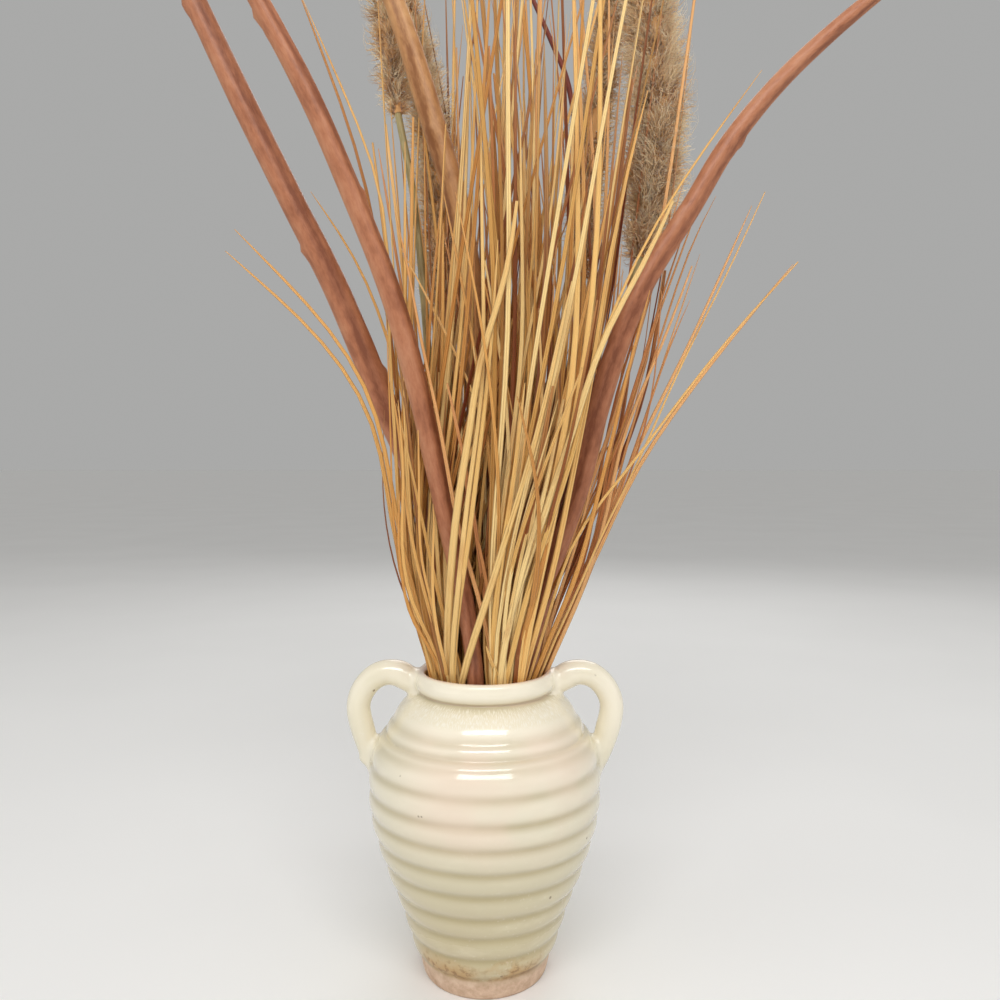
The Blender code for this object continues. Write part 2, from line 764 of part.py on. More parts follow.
def drawn_blade(rng, centre, turn):
    """One blade's route, drawn at random near its place in the tuft's part of the mouth."""
    angle = math.radians(GOLDEN_TURN) * turn + rng.uniform(-STRAY_ANGLE, STRAY_ANGLE)
    off = math.sqrt((turn + rng.random()) / BLADES_EACH)
    aside = Vector((math.cos(angle), math.sin(angle))) * off
    root = Vector(centre) + ROOT_CELL * aside
    mouth = MOUTH_SPREAD * Vector(centre) + CELL * aside
    wander = (rng.gauss(0, WANDER), rng.gauss(0, WANDER))
    tip = rng.triangular(SHORTEST_TIP, LONGEST_TIP, USUAL_TIP)
    return blade_route(root, mouth, tip, wander)


def plan_blades(claims):
    """Every tuft's blades in turn, each clear of every other piece all the way up."""
    rng = random.Random(RANDOM_START)
    blades = {name: [] for name in TUFTS}
    for name, (x, y, _) in TUFTS.items():
        butt = [(x, y, FOAM_TOP - 0.01), (x, y, TUFT_BUTT_TOP)]
        claims.add(name, butt, [TUFT_BUTT_RADIUS] * 2)
    for name, routes in STRAYS.items():
        x, y, _ = TUFTS[name]
        for route in routes:
            points = [(x, y, BLADE_ROOT)] + route
            width = BLADE_WIDTHS[0]
            radii = np.linspace(width / 2, width / 2 * BLADE_TIP_SCALE, len(points))
            if claims.is_clear(name, points, radii):
                claims.add(name, points, radii)
                blades[name].append((points, width))
            else:
                print("left out a stray of", name)
    for turn in range(BLADES_EACH):
        for name, (x, y, _) in TUFTS.items():
            for _ in range(TRIES):
                points = drawn_blade(rng, (x, y), turn)
                width = rng.triangular(*BLADE_WIDTHS)
                radii = np.linspace(width / 2, width / 2 * BLADE_TIP_SCALE, len(points))
                mouth = math.hypot(points[1][0], points[1][1]) + width / 2
                if mouth < MOUTH_RADIUS - GAP and claims.is_clear(name, points, radii):
                    claims.add(name, points, radii)
                    blades[name].append((points, width))
                    break
    return blades


def blade_section(cutters):
    """The outline swept along a blade: a flat strip with a low fold along its middle."""
    curve = bpy.data.curves.new("blade_section", "CURVE")
    curve.dimensions = "2D"
    spline = curve.splines.new("POLY")
    spline.points.add(2)
    for point, (x, y) in zip(spline.points, [(-0.5, 0.0), (0.5, 0.0), (0.0, BLADE_THICKNESS)]):
        point.co = (x, y, 0.0, 1.0)
    spline.use_cyclic_u = True
    section = bpy.data.objects.new("blade_section", curve)
    section.hide_render = True
    section.display_type = "WIRE"
    cutters.objects.link(section)
    return section


def make_tuft(name, blades, section, home, rng):
    """A tuft's blades fused with the bound butt that stands in the foam."""
    x, y, material = TUFTS[name]
    butt = round_bar(name, TUFT_BUTT_RADIUS, TUFT_FOOT, TUFT_BUTT_TOP, home, (x, y))
    strips = new_collection("strips", home)
    for i, (points, width) in enumerate(blades):
        facing = math.atan2(points[-1][1], points[-1][0]) + rng.uniform(-BLADE_TURN, BLADE_TURN)
        scale = np.linspace(1.0, BLADE_TIP_SCALE, len(points)) * width
        sweep(f"blade_{i}", points, scale, strips, section=section, tilt=facing)
    tuft = one_body(boolean(butt, "UNION", group=strips))
    return dressed(tuft, name, material, smooth=False)


def main():
    clear_scene()
    home = new_collection("dried_flowers_in_vase")
    cutters = new_collection("cutters")
    claims = Claims()
    rng = random.Random(RANDOM_START + 1)

    make_vase(home, cutters)
    holes = new_collection("holes", cutters)
    paints = {"branch_3": "tan_paint", "branch_4": "dark_bark"}
    for name, spec in BRANCHES.items():
        make_branch(name, spec, paints.get(name, "terracotta_paint"), home, claims)
        stem_hole(spec["radii"][0], spec["route"][0][:2], holes)
    for number, spec in REEDS.items():
        make_reed(number, spec, home, claims, rng)
        stem_hole(STALK_RADIUS, spec["stalk"][0][:2], holes)
    blades = plan_blades(claims)
    section = blade_section(cutters)
    for name, (x, y, _) in TUFTS.items():
        make_tuft(name, blades[name], section, home, rng)
        stem_hole(TUFT_BUTT_RADIUS, (x, y), holes, TUFT_FOOT)
    make_foam(home, holes)
    print("blades:", {name: len(found) for name, found in blades.items()})


main()
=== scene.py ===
import math
import random

import bmesh
import bpy
import numpy as np
from mathutils import Matrix, Vector, noise
from mathutils.kdtree import KDTree


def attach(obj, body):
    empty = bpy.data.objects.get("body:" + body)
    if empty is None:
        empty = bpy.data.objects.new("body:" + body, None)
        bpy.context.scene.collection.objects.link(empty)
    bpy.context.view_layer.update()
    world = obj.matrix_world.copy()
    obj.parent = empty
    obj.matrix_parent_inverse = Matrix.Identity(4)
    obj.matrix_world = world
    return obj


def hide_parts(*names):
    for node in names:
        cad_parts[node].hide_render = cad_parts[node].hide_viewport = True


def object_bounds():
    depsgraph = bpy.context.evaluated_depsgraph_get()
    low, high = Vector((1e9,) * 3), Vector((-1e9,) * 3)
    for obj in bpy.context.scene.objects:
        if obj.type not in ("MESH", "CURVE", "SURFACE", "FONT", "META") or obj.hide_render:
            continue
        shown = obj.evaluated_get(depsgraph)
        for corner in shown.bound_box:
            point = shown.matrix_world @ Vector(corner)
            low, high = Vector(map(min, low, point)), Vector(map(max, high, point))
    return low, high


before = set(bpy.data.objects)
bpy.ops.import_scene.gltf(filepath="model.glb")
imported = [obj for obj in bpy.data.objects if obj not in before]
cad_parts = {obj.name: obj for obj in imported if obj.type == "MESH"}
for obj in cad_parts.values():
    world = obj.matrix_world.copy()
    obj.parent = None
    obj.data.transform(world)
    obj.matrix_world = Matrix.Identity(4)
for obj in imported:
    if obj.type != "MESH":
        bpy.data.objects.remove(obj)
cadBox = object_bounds()
bodyName = "root"

# metres, +Z up, the camera looks along +Y
# every piece keeps its place in its mesh, so all objects sit at the origin

camera = {
    "place": (0.0099, -0.560, 0.335),
    "pitch": -2.35,      # degrees, down is negative
    "lens": 30.6,
    "pixels": 1000,
    "sensor": 36.0,
}


def colour(shade):
    # red, green and blue as seen on a screen, 0 to 255, turned into what a shader takes
    return tuple((part / 255) ** 2.2 for part in shade) + (1.0,)


# materials

def maths(operation, turned=False):
    # a method that puts the wire and another value through one Math node
    def method(self, other):
        first, second = (other, self) if turned else (self, other)
        return self.finish.node("Math", {"operation": operation}, {0: first, 1: second})
    return method


class Wire:
    # one output socket, so that shader maths can be written as plain sums
    def __init__(self, finish, socket):
        self.finish = finish
        self.socket = socket

    __add__, __radd__ = maths("ADD"), maths("ADD", turned=True)
    __sub__, __rsub__ = maths("SUBTRACT"), maths("SUBTRACT", turned=True)
    __mul__, __rmul__ = maths("MULTIPLY"), maths("MULTIPLY", turned=True)
    __pow__ = maths("POWER")
    most = maths("MAXIMUM")

    def abs(self):
        return self.finish.node("Math", {"operation": "ABSOLUTE"}, {0: self})


class Finish:
    # a Principled material, its constants, and the nodes that feed it
    def __init__(self, name, constants=None):
        self.material = bpy.data.materials.new(name)
        self.material.use_nodes = True
        self.tree = self.material.node_tree
        self.shader = self.tree.nodes["Principled BSDF"]
        for socket, value in (constants or {}).items():
            self.shader.inputs[socket].default_value = value

    def node(self, kind, settings=None, sockets=None, out=0):
        made = self.tree.nodes.new("ShaderNode" + kind)
        for setting, value in (settings or {}).items():
            if setting == "stops":
                self.setStops(made.color_ramp.elements, value)
            else:
                setattr(made, setting, value)
        for socket, value in (sockets or {}).items():
            if isinstance(value, Wire):
                self.tree.links.new(value.socket, made.inputs[socket])
            else:
                made.inputs[socket].default_value = value
        return Wire(self, made.outputs[out])

    def setStops(self, elements, stops):
        while len(elements) < len(stops):
            elements.new(0.5)
        for element, (place, shade) in zip(elements, stops.items()):
            element.position = place
            element.color = colour(shade)

    def feed(self, socket, wire):
        self.tree.links.new(wire.socket, self.shader.inputs[socket])

    def place(self):
        return self.node("TexCoord", out="Object")

    def attribute(self, name, out="Fac"):
        return self.node("Attribute", {"attribute_name": name}, out=out)

    def parts(self, vector):
        made = self.node("SeparateXYZ", sockets={0: vector})
        return [Wire(self, output) for output in made.socket.node.outputs]

    def vector(self, x, y, z):
        return self.node("CombineXYZ", sockets={0: x, 1: y, 2: z})

    def stretched(self, vector, scale):
        return self.node("VectorMath", {"operation": "MULTIPLY"}, {0: vector, 1: scale})

    def noise(self, vector, scale, detail=3.0, roughness=0.5):
        return self.node("TexNoise", sockets={"Vector": vector, "Scale": scale, "Detail": detail,
                                              "Roughness": roughness})

    def cells(self, vector, scale):
        return self.node("TexVoronoi", sockets={"Vector": vector, "Scale": scale})

    def step(self, value, low, high):
        # 0 below low, 1 above high and smooth between
        return self.node("MapRange", {"interpolation_type": "SMOOTHSTEP"},
                         {"Value": value, "From Min": low, "From Max": high})

    def ramp(self, value, stops):
        return self.node("ValToRGB", {"stops": stops}, {0: value})

    def mixed(self, amount, first, second):
        return self.node("Mix", {"data_type": "RGBA"}, {0: amount, 6: first, 7: second}, out=2)

    def tinted(self, base, amount, *shade):
        return self.mixed(amount, base, colour(shade))

    def bump(self, height, strength, distance):
        self.feed("Normal", self.node("Bump", sockets={"Height": height, "Strength": strength,
                                                       "Distance": distance}))


def glazeFinish():
    finish = Finish("cream_glaze", {"Coat Roughness": 0.09, "Coat IOR": 1.5, "Specular IOR Level": 0.5})
    place = finish.place()
    x, y, z = finish.parts(place)
    groove = finish.attribute("groove")
    inside = finish.attribute("inside")
    foot = finish.attribute("foot")
    cloudy = finish.noise(place, 9.0, 3.0, 0.55)
    drifts = finish.noise(finish.stretched(place, (1.0, 1.0, 2.6)), 22.0, 4.0, 0.6)
    fine = finish.noise(place, 260.0, 3.0, 0.65)

    # ivory above, greener and deeper low down: partly the glaze's own colour and partly painted light,
    # lighter towards the top where the light falls from above; also tinted in the grooves
    base = finish.ramp(finish.step(z, 0.0, 0.2), {
        0.06: (204, 190, 154), 0.35: (214, 204, 173),
        0.68: (236, 228, 204), 1.0: (249, 240, 218)})
    base = finish.tinted(base, finish.step(cloudy, 0.45, 0.75) * 0.50, 219, 211, 176)
    base = finish.tinted(base, finish.step(drifts, 0.52, 0.78) * 0.40, 248, 239, 213)
    # the grooves tinted deeper and greener: partly glaze pooled in them, partly painted shade in the hollows;
    # under the collar mostly painted shade
    base = finish.tinted(base, groove * (0.48 + 0.35 * drifts), 174, 158, 112)

    # a pink blush on the front of the upper rings, where the glaze is thin
    front = finish.step(-1.0 * y, 0.005, 0.060) * finish.step(z, 0.085, 0.125)
    front = front * (1.0 - finish.step(z, 0.165, 0.180)) * finish.step(x, -0.062, -0.018)
    blush = front * finish.step(finish.noise(place, 14.0, 3.0, 0.5), 0.34, 0.60)
    base = finish.tinted(base, blush * 0.50, 246, 218, 198)

    # pale crackle just under the collar
    bearing = finish.node("Math", {"operation": "ARCTAN2"}, {0: y, 1: x})
    dashes = finish.noise(finish.vector(bearing * 84.0, z * 420.0, 0.0), 1.0, 3.0, 0.6)
    shoulder = finish.step(z, 0.1735, 0.1780) * (1.0 - finish.step(z, 0.1840, 0.1860))
    shoulder = shoulder * (1.0 - finish.step((x * x + y * y) ** 0.5, 0.058, 0.064))
    base = finish.tinted(base, shoulder * 0.40, 232, 220, 186)
    crackle = shoulder * finish.step(dashes, 0.48, 0.60)
    base = finish.tinted(base, crackle * 0.60, 253, 248, 236)
    pale = finish.step(finish.noise(place, 420.0, 1.0, 0.5), 0.66, 0.72) * finish.step(cloudy, 0.40, 0.60)
    base = finish.tinted(base, pale * 0.18, 253, 247, 234)

    # pinholes, far apart
    holes = finish.cells(place, 90.0)
    rare = finish.step(finish.noise(place, 55.0, 1.0, 0.5), 0.60, 0.66)
    pin = (1.0 - finish.step(holes, 0.055, 0.11)) * rare
    base = finish.tinted(base, pin * 0.75, 120, 100, 72)

    # bare worn clay at the foot, and the ochre stain that has crept up from it
    ragged = finish.noise(finish.vector(bearing * 1.9, z * 46.0, 0.3), 1.0, 5.0, 0.6)
    left = 1.0 - finish.step((bearing + 2.10).abs(), 0.20, 0.62)
    right = 1.0 - finish.step((bearing + 1.15).abs(), 0.15, 0.60)
    stainHigh = 1.0 - finish.step(z + (ragged - 0.5) * 0.030, 0.0200, 0.0310)
    stain = stainHigh * left.most(right) * finish.step(ragged, 0.30, 0.52) * finish.step(z, 0.0105, 0.0145)
    base = finish.tinted(base, stain * (0.45 + 0.70 * fine), 190, 146, 88)
    base = finish.tinted(base, stain * finish.step(fine, 0.50, 0.60) * 0.60, 132, 94, 56)
    # seam: a dark ragged line in the groove just above the foot band, painted shade in that step
    seam = groove * (1.0 - finish.step(z, 0.0165, 0.0180)) * finish.step(ragged, 0.40, 0.60)
    base = finish.tinted(base, seam * 0.75, 136, 104, 66)
    clay = finish.ramp(finish.noise(place, 120.0, 5.0, 0.7), {
        0.30: (190, 156, 128), 0.55: (218, 188, 162), 0.75: (232, 208, 186)})
    base = finish.mixed(foot, base, clay)
    base = finish.tinted(base, inside * 0.75, 232, 198, 174)

    finish.feed("Base Color", base)
    dull = 0.17 + 0.20 * finish.step(z, 0.06, 0.0) + 0.10 * drifts
    finish.feed("Roughness", dull + foot * 0.36 + stain * 0.16)
    finish.feed("Coat Weight", 0.55 * (1.0 - foot) * (1.0 - 0.6 * stain))
    orange = finish.noise(place, 130.0, 2.0, 0.5)
    finish.bump(orange * 0.5 + fine * (0.12 + 0.5 * foot) - pin * 1.2, 0.22, 0.0006)
    return finish.material


def foamFinish():
    finish = Finish("dry_foam", {"Roughness": 0.95, "Specular IOR Level": 0.2})
    place = finish.place()
    pores = finish.cells(place, 900.0)
    grains = finish.noise(place, 160.0, 4.0, 0.6)
    finish.feed("Base Color", finish.ramp(pores * 0.7 + grains * 0.4, {
        0.20: (70, 74, 48), 0.55: (110, 112, 76), 0.85: (142, 140, 100)}))
    finish.bump(pores + grains * 0.5, 0.7, 0.0008)
    return finish.material


def barkFinish(name, dark, middle, light, roughness):
    finish = Finish(name, {"Specular IOR Level": 0.4})
    grain = finish.attribute("grain", "Vector")
    ridge = finish.attribute("ridge")
    streaks = finish.noise(finish.stretched(grain, (2.2, 2.2, 9.0)), 1.0, 4.0, 0.6)
    fine = finish.noise(finish.stretched(grain, (12.0, 12.0, 30.0)), 1.0, 4.0, 0.65)
    patches = finish.noise(finish.place(), 34.0, 3.0, 0.55)
    # the ridge term paints the ridge lighter and the groove darker: painted highlight and painted shade
    tone = streaks * 0.34 + fine * 0.14 + patches * 0.36 + ridge * 0.14
    finish.feed("Base Color", finish.ramp(tone, {0.27: dark, 0.42: middle, 0.66: light}))
    finish.feed("Roughness", roughness + 0.16 * (fine - 0.5) + 0.12 * (patches - 0.5))
    finish.bump(streaks * 0.5 + fine * 0.5, 0.42, 0.0005)
    return finish.material


def strawFinish(name, dark, middle, light, tip):
    finish = Finish(name, {"Specular IOR Level": 0.45})
    grain = finish.attribute("grain", "Vector")
    across, depth, along = finish.parts(grain)
    tone = finish.attribute("tone")
    ribs = finish.noise(finish.vector(across * 5.0 + tone * 37.0, depth * 1.5, along * 0.8), 1.0, 2.0, 0.5)
    blots = finish.noise(finish.vector(across * 0.6, tone * 53.0, along * 22.0), 1.0, 4.0, 0.65)
    mix = tone * 0.90 + ribs * 0.26 + blots * 0.12 - 0.12
    base = finish.ramp(mix, {0.05: (112, 48, 24), 0.24: dark, 0.52: middle, 0.88: light})
    base = finish.tinted(base, finish.step(along, 0.60, 1.0) * 0.40, *tip)
    rusty = finish.step(finish.noise(finish.vector(tone * 91.0, along * 5.0, 0.0), 1.0, 2.0, 0.5), 0.58, 0.72)
    base = finish.tinted(base, rusty * 0.40, 190, 122, 62)
    # dark brown at each blade's edges: painted shade along its sides
    edges = finish.step(across.abs(), 0.70, 1.0)
    base = finish.tinted(base, edges * 0.70, 112, 68, 34)
    finish.feed("Base Color", base)
    finish.feed("Roughness", 0.34 + 0.26 * blots)
    finish.bump(ribs, 0.35, 0.0004)
    return finish.material


def stalkFinish():
    finish = Finish("reed_stalk", {"Specular IOR Level": 0.45})
    grain = finish.attribute("grain", "Vector")
    streaks = finish.noise(finish.stretched(grain, (5.0, 5.0, 7.0)), 1.0, 4.0, 0.6)
    patches = finish.noise(finish.place(), 40.0, 3.0, 0.55)
    finish.feed("Base Color", finish.ramp(streaks * 0.55 + patches * 0.45, {
        0.32: (122, 106, 66), 0.52: (164, 150, 104), 0.72: (198, 184, 136)}))
    finish.feed("Roughness", 0.42 + 0.2 * patches)
    finish.bump(streaks, 0.4, 0.0004)
    return finish.material


def fluffFinish():
    finish = Finish("reed_fluff", {"Roughness": 0.85, "Specular IOR Level": 0.25, "Sheen Weight": 0.55,
                                   "Sheen Roughness": 0.5})
    along = finish.parts(finish.attribute("grain", "Vector"))[2]
    tone = finish.attribute("tone")
    patches = finish.noise(finish.place(), 60.0, 3.0, 0.6)
    warm = finish.ramp(along, {
        0.0: (204, 146, 86), 0.30: (242, 194, 132),
        0.75: (253, 220, 164), 1.0: (254, 238, 200)})
    silver = finish.ramp(along, {
        0.0: (222, 180, 124), 0.3: (251, 224, 176), 1.0: (254, 246, 222)})
    base = finish.mixed(finish.step(tone * 0.80 + patches * 0.40, 0.46, 0.76), warm, silver)
    brown = 1.0 - finish.step(tone, 0.22, 0.42)
    base = finish.tinted(base, brown * 0.55, 176, 118, 66)
    finish.feed("Base Color", base)
    return finish.material


materials = {
    "glaze": glazeFinish(),
    "foam": foamFinish(),
    "terracotta_branch": barkFinish("terracotta_paint", (134, 80, 56), (176, 114, 82), (208, 150, 114), 0.42),
    "tan_branch": barkFinish("tan_paint", (142, 92, 54), (190, 138, 90), (222, 176, 124), 0.46),
    "dark_branch": barkFinish("dark_bark", (84, 36, 28), (134, 62, 48), (170, 96, 74), 0.50),
    "stalk": stalkFinish(),
    "fluff": fluffFinish(),
    "straw_pale": strawFinish("pale_straw", (184, 130, 66), (226, 177, 100), (246, 213, 146),
                              (236, 194, 130)),
    "straw_gold": strawFinish("golden_straw", (158, 96, 42), (214, 152, 78), (244, 198, 122),
                              (228, 172, 106)),
    "straw_rust": strawFinish("rust_straw", (132, 70, 38), (198, 127, 74), (236, 180, 118), (224, 166, 110)),
}
print("materials made:", len(materials))


# shared modelling

def hung(name, data):
    # a new object in the scene
    made = bpy.data.objects.new(name, data)
    bpy.context.scene.collection.objects.link(made)
    return made


def settled(obj):
    # the object's mesh with its modifiers applied
    bpy.context.view_layer.update()
    return bpy.data.meshes.new_from_object(obj.evaluated_get(bpy.context.evaluated_depsgraph_get()))


def finished(name, mesh, slot, node):
    # hangs a finished mesh in the scene in place of the CAD node that it stands for
    mesh.name = name
    mesh.materials.clear()
    mesh.materials.append(materials[slot])
    piece = hung(name, mesh)
    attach(piece, bodyName)
    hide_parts(node)
    return piece


def meshFrom(bm, name):
    bmesh.ops.recalc_face_normals(bm, faces=bm.faces)
    mesh = bpy.data.meshes.new(name)
    bm.to_mesh(mesh)
    bm.free()
    mesh.shade_smooth()
    return mesh


def prism(outline, rings, sharpAngle=35):
    # a face drawn once and pulled up ring by ring, each ring one unit above the last
    bm = bmesh.new()
    face = bm.faces.new([bm.verts.new((x, y, 0.0)) for x, y in outline])
    for _ in range(rings - 1):
        pulled = bmesh.ops.extrude_face_region(bm, geom=[face, *face.edges, *face.verts])["geom"]
        face = next(item for item in pulled if isinstance(item, bmesh.types.BMFace))
        bmesh.ops.translate(bm, verts=face.verts, vec=(0.0, 0.0, 1.0))
    mesh = meshFrom(bm, "prism")
    mesh.set_sharp_from_angle(angle=math.radians(sharpAngle))
    return mesh


def tube(sides, rings):
    angles = [2 * math.pi * i / sides for i in range(sides)]
    return prism([(math.cos(a), math.sin(a)) for a in angles], rings, 60)


def spike(sides, cuts):
    # a thin cone with rings cut across it, one unit apart
    bm = bmesh.new()
    length = cuts + 1
    bmesh.ops.create_cone(bm, cap_ends=True, segments=sides, radius1=1.0, radius2=0.0, depth=length,
                          matrix=Matrix.Translation((0.0, 0.0, length / 2)))
    for cut in range(cuts):
        bmesh.ops.bisect_plane(bm, geom=[*bm.verts, *bm.edges, *bm.faces], plane_co=(0.0, 0.0, cut + 1.0),
                               plane_no=(0.0, 0.0, 1.0))
    return meshFrom(bm, "spike")


def copies(template, count):
    # the same shape count times over, in one mesh
    source = hung("source", template)
    array = source.modifiers.new("Copies", "ARRAY")
    array.count = count
    array.use_relative_offset = False
    array.use_constant_offset = True
    array.constant_offset_displace = (0.0, 0.0, 0.0)
    mesh = settled(source)
    bpy.data.objects.remove(source, do_unlink=True)
    return mesh


def readPlaces(mesh):
    places = np.empty(len(mesh.vertices) * 3)
    mesh.vertices.foreach_get("co", places)
    return places.reshape(-1, 3)


def writePlaces(mesh, places):
    mesh.vertices.foreach_set("co", np.ascontiguousarray(places, dtype=np.float32).ravel())
    mesh.update()


def unit(vectors):
    return vectors / np.maximum(np.linalg.norm(vectors, axis=-1, keepdims=True), 1e-12)


def carriers(routes, turn):
    # the two directions square to each route, turned about it; with no turn the second faces the camera
    along = unit(np.gradient(routes, axis=-2))
    side = unit(np.cross(along, (0.0, 1.0, 0.0)))
    front = np.cross(along, side)
    turn = np.asarray(turn)[..., None]
    return side * np.cos(turn) + front * np.sin(turn), front * np.cos(turn) - side * np.sin(turn)


def laidAlong(template, routes, turns, halfWidths, halfDepths):
    # copies of a prism, tube or spike, each laid along its own route
    count, rings = routes.shape[:2]
    mesh = copies(template, count)
    local = readPlaces(mesh).reshape(count, -1, 3)
    ring = np.clip(np.rint(local[..., 2]).astype(int), 0, rings - 1)
    row = np.arange(count)[:, None]
    side, front = carriers(routes, turns)
    places = (routes[row, ring] + side[row, ring] * (local[..., :1] * halfWidths[row, ring][..., None])
              + front[row, ring] * (local[..., 1:2] * halfDepths[row, ring][..., None]))
    writePlaces(mesh, places.reshape(-1, 3))
    grain = np.stack([local[..., 0], local[..., 1], ring / (rings - 1)], axis=-1)
    return mesh, grain.reshape(-1, 3), np.repeat(np.arange(count), local.shape[1])


def laidOnce(template, route, widths, depths=None):
    # one tube along one route
    depths = widths if depths is None else depths
    return laidAlong(template, route[None], np.zeros((1, 1)), widths[None], depths[None])[:2]


def joined(name, meshes):
    # one mesh of several, their points in the same order
    bm = bmesh.new()
    for mesh in meshes:
        bm.from_mesh(mesh)
    whole = bpy.data.meshes.new(name)
    bm.to_mesh(whole)
    bm.free()
    return whole


def setAttribute(mesh, name, values):
    values = np.asarray(values, dtype=np.float32)
    kind, key = ("FLOAT_VECTOR", "vector") if values.ndim == 2 else ("FLOAT", "value")
    made = mesh.attributes.new(name, kind, "POINT")
    made.data.foreach_set(key, values.ravel())


def travelled(line):
    # how far along a line each of its points lies
    return np.concatenate([[0.0], np.cumsum(np.linalg.norm(np.diff(line, axis=0), axis=1))])


def mm(*numbers, each=3):
    # places in metres, from millimetres given one place after another
    return [tuple(place) for place in np.reshape(numbers, (-1, each)) / 1000]


def smoothRoute(points, count):
    # evenly spaced places along a smooth curve through the given ones
    knots = np.array(points, dtype=float)
    knots = np.vstack([2 * knots[0] - knots[1], knots, 2 * knots[-1] - knots[-2]])
    t = (np.arange(12) / 12)[None, :, None]
    a, b, c, d = (knots[i:len(knots) - 3 + i, None, :] for i in range(4))
    fine = 0.5 * (2 * b + (c - a) * t + (2 * a - 5 * b + 4 * c - d) * t ** 2
                  + (3 * b - a - 3 * c + d) * t ** 3)
    fine = np.vstack([fine.reshape(-1, 3), knots[-2]])
    far = travelled(fine)
    wanted = np.linspace(0.0, far[-1], count)
    return np.stack([np.interp(wanted, far, fine[:, i]) for i in range(3)], axis=1)


def atPixel(x, y, depth):
    # the place that the camera sees at a pixel of its frame, at a depth in y
    pitch = math.radians(camera["pitch"])
    focal = camera["lens"] / camera["sensor"] * camera["pixels"]
    right = (x - camera["pixels"] / 2) / focal
    up = (camera["pixels"] / 2 - y) / focal
    ahead = Vector((right, math.cos(pitch) - up * math.sin(pitch), math.sin(pitch) + up * math.cos(pitch)))
    reach = (depth - camera["place"][1]) / ahead.y
    return tuple(Vector(camera["place"]) + ahead * reach)


def inBox(mesh):
    # keeps a piece inside the solid model's own box
    low, high = (np.array(corner) for corner in cadBox)
    writePlaces(mesh, np.clip(readPlaces(mesh), low + 0.001, high - 0.001))


# vase

vase = {
    "height": 0.200,
    "mouthRadius": 0.0394,
    "rimRounding": 0.0034,
    "collarRadius": 0.0464,
    "wall": 0.0058,
    "floor": 0.0090,
    "floorRadius": 0.0330,
    "footRadius": 0.0410,
    "footBand": (0.0434, 0.0125),
    "grooves": mm(43.6, 186, 60.9, 168.2, 65.2, 159.9, 70.8, 154.7, 74.1, 140, 75, 124, 73.8, 108.8, 70.1,
        92.8, 64.9, 77, 58.6, 59.9, 53.3, 45, 48.4, 29.3, 44.2, 15, each=2),
    # how strongly each groove is tinted, for pooled glaze and painted shade; the first, under the collar, is
    # mostly painted shade
    "groovePoolingAndShade": [1.0, 0.6, 0.7, 0.6, 0.9, 1, 1, 1, 1, 1, 1, 1, 1],
    "bulge": 0.135,
    "bulgeMost": 0.0030,
    "ringSteps": 12,
    "segments": 144,
    "collar": [(0.0004, 0.1950), (0.0008, 0.1934), (0.0006, 0.1916), (-0.0001, 0.1900), (-0.0013, 0.1886),
               (-0.0025, 0.1875), (-0.0032, 0.1866)],    # out from its radius, and height
    "handleRadius": 0.0081,
    "handleLine": mm(36, 186.4, 46, 190.4, 54, 195.7, 62, 198, 71, 196.3, 79, 189.3, 84.4, 178.2, 83.3, 166,
        79, 152.5, 73.4, 140.5, 66.8, 130, 60, 120.5, each=2),
    "handleThick": ([0, 0.14, 0.24, 0.5, 0.78, 0.88, 1.0], [1.22, 1.12, 1.02, 0.98, 1.02, 1.20, 1.45]),
    "handleSides": 28,
    "handleRings": 72,
    "webs": [(0.0085, 7), (0.0055, 10), (0.0030, 10)],   # reach from the seam, and smoothing passes
    "lump": (-0.0785, -0.0035, 0.1405),
    "lumpSize": (0.0042, 0.0034, 0.0036),
    "lumpPush": 0.0030,
}


def rounded(points, passes):
    # softens a line of points and keeps its ends
    line = np.array(points)
    for _ in range(passes):
        line[1:-1] = line[1:-1] * 0.5 + (line[:-2] + line[2:]) * 0.25
    return line


def ringLine():
    # the body's outline: rounded rings, each between two soft grooves
    points = [vase["grooves"][0]]
    for upper, lower in zip(vase["grooves"], vase["grooves"][1:]):
        step = Vector(lower) - Vector(upper)
        out = Vector((-step.y, step.x)).normalized()
        bulge = min(vase["bulge"] * step.length, vase["bulgeMost"])
        for i in range(1, vase["ringSteps"] + 1):
            t = i / vase["ringSteps"]
            points.append(tuple(Vector(upper) + step * t + out * bulge * (1 - abs(2 * t - 1) ** 2.2)))
    return points


def innerLine(extra=0.0):
    points = [(0.0, vase["floor"] - extra), (vase["floorRadius"] + extra, vase["floor"] - extra)]
    points += [(r - vase["wall"] + extra, z) for r, z in reversed(vase["grooves"][1:])]
    return points + [(vase["mouthRadius"] + extra, vase["grooves"][0][1] - 0.001)]


def spun(line, segments):
    bm = bmesh.new()
    verts = [bm.verts.new((r, 0.0, z)) for r, z in line]
    edges = [bm.edges.new(pair) for pair in zip(verts, verts[1:])]
    bmesh.ops.spin(bm, geom=verts + edges, cent=(0, 0, 0), axis=(0, 0, 1), dvec=(0, 0, 0),
                   angle=2 * math.pi, steps=segments, use_merge=True, use_duplicate=False)
    bmesh.ops.remove_doubles(bm, verts=bm.verts, dist=1e-6)
    return meshFrom(bm, "spun")


def volumeOf(mesh):
    bm = bmesh.new()
    bm.from_mesh(mesh)
    bmesh.ops.recalc_face_normals(bm, faces=bm.faces)
    volume = bm.calc_volume()
    bm.free()
    return volume


def combined(first, operation, second, least, most, tries=20):
    # one Boolean of two meshes, made again if its volume isn't between two shares of the first mesh's
    for _ in range(tries):
        objects = [hung("operand", mesh) for mesh in (first, second)]
        change = objects[0].modifiers.new("Join", "BOOLEAN")
        change.operation = operation
        change.object = objects[1]
        change.solver = "EXACT"
        change.material_mode = "INDEX"
        mesh = settled(objects[0])
        for obj in objects:
            bpy.data.objects.remove(obj, do_unlink=True)
        share = volumeOf(mesh) / volumeOf(first)
        if least < share < most:
            return mesh
        print(f"Boolean made again, share of volume {share:.3f}")
    raise RuntimeError("the Boolean kept failing")


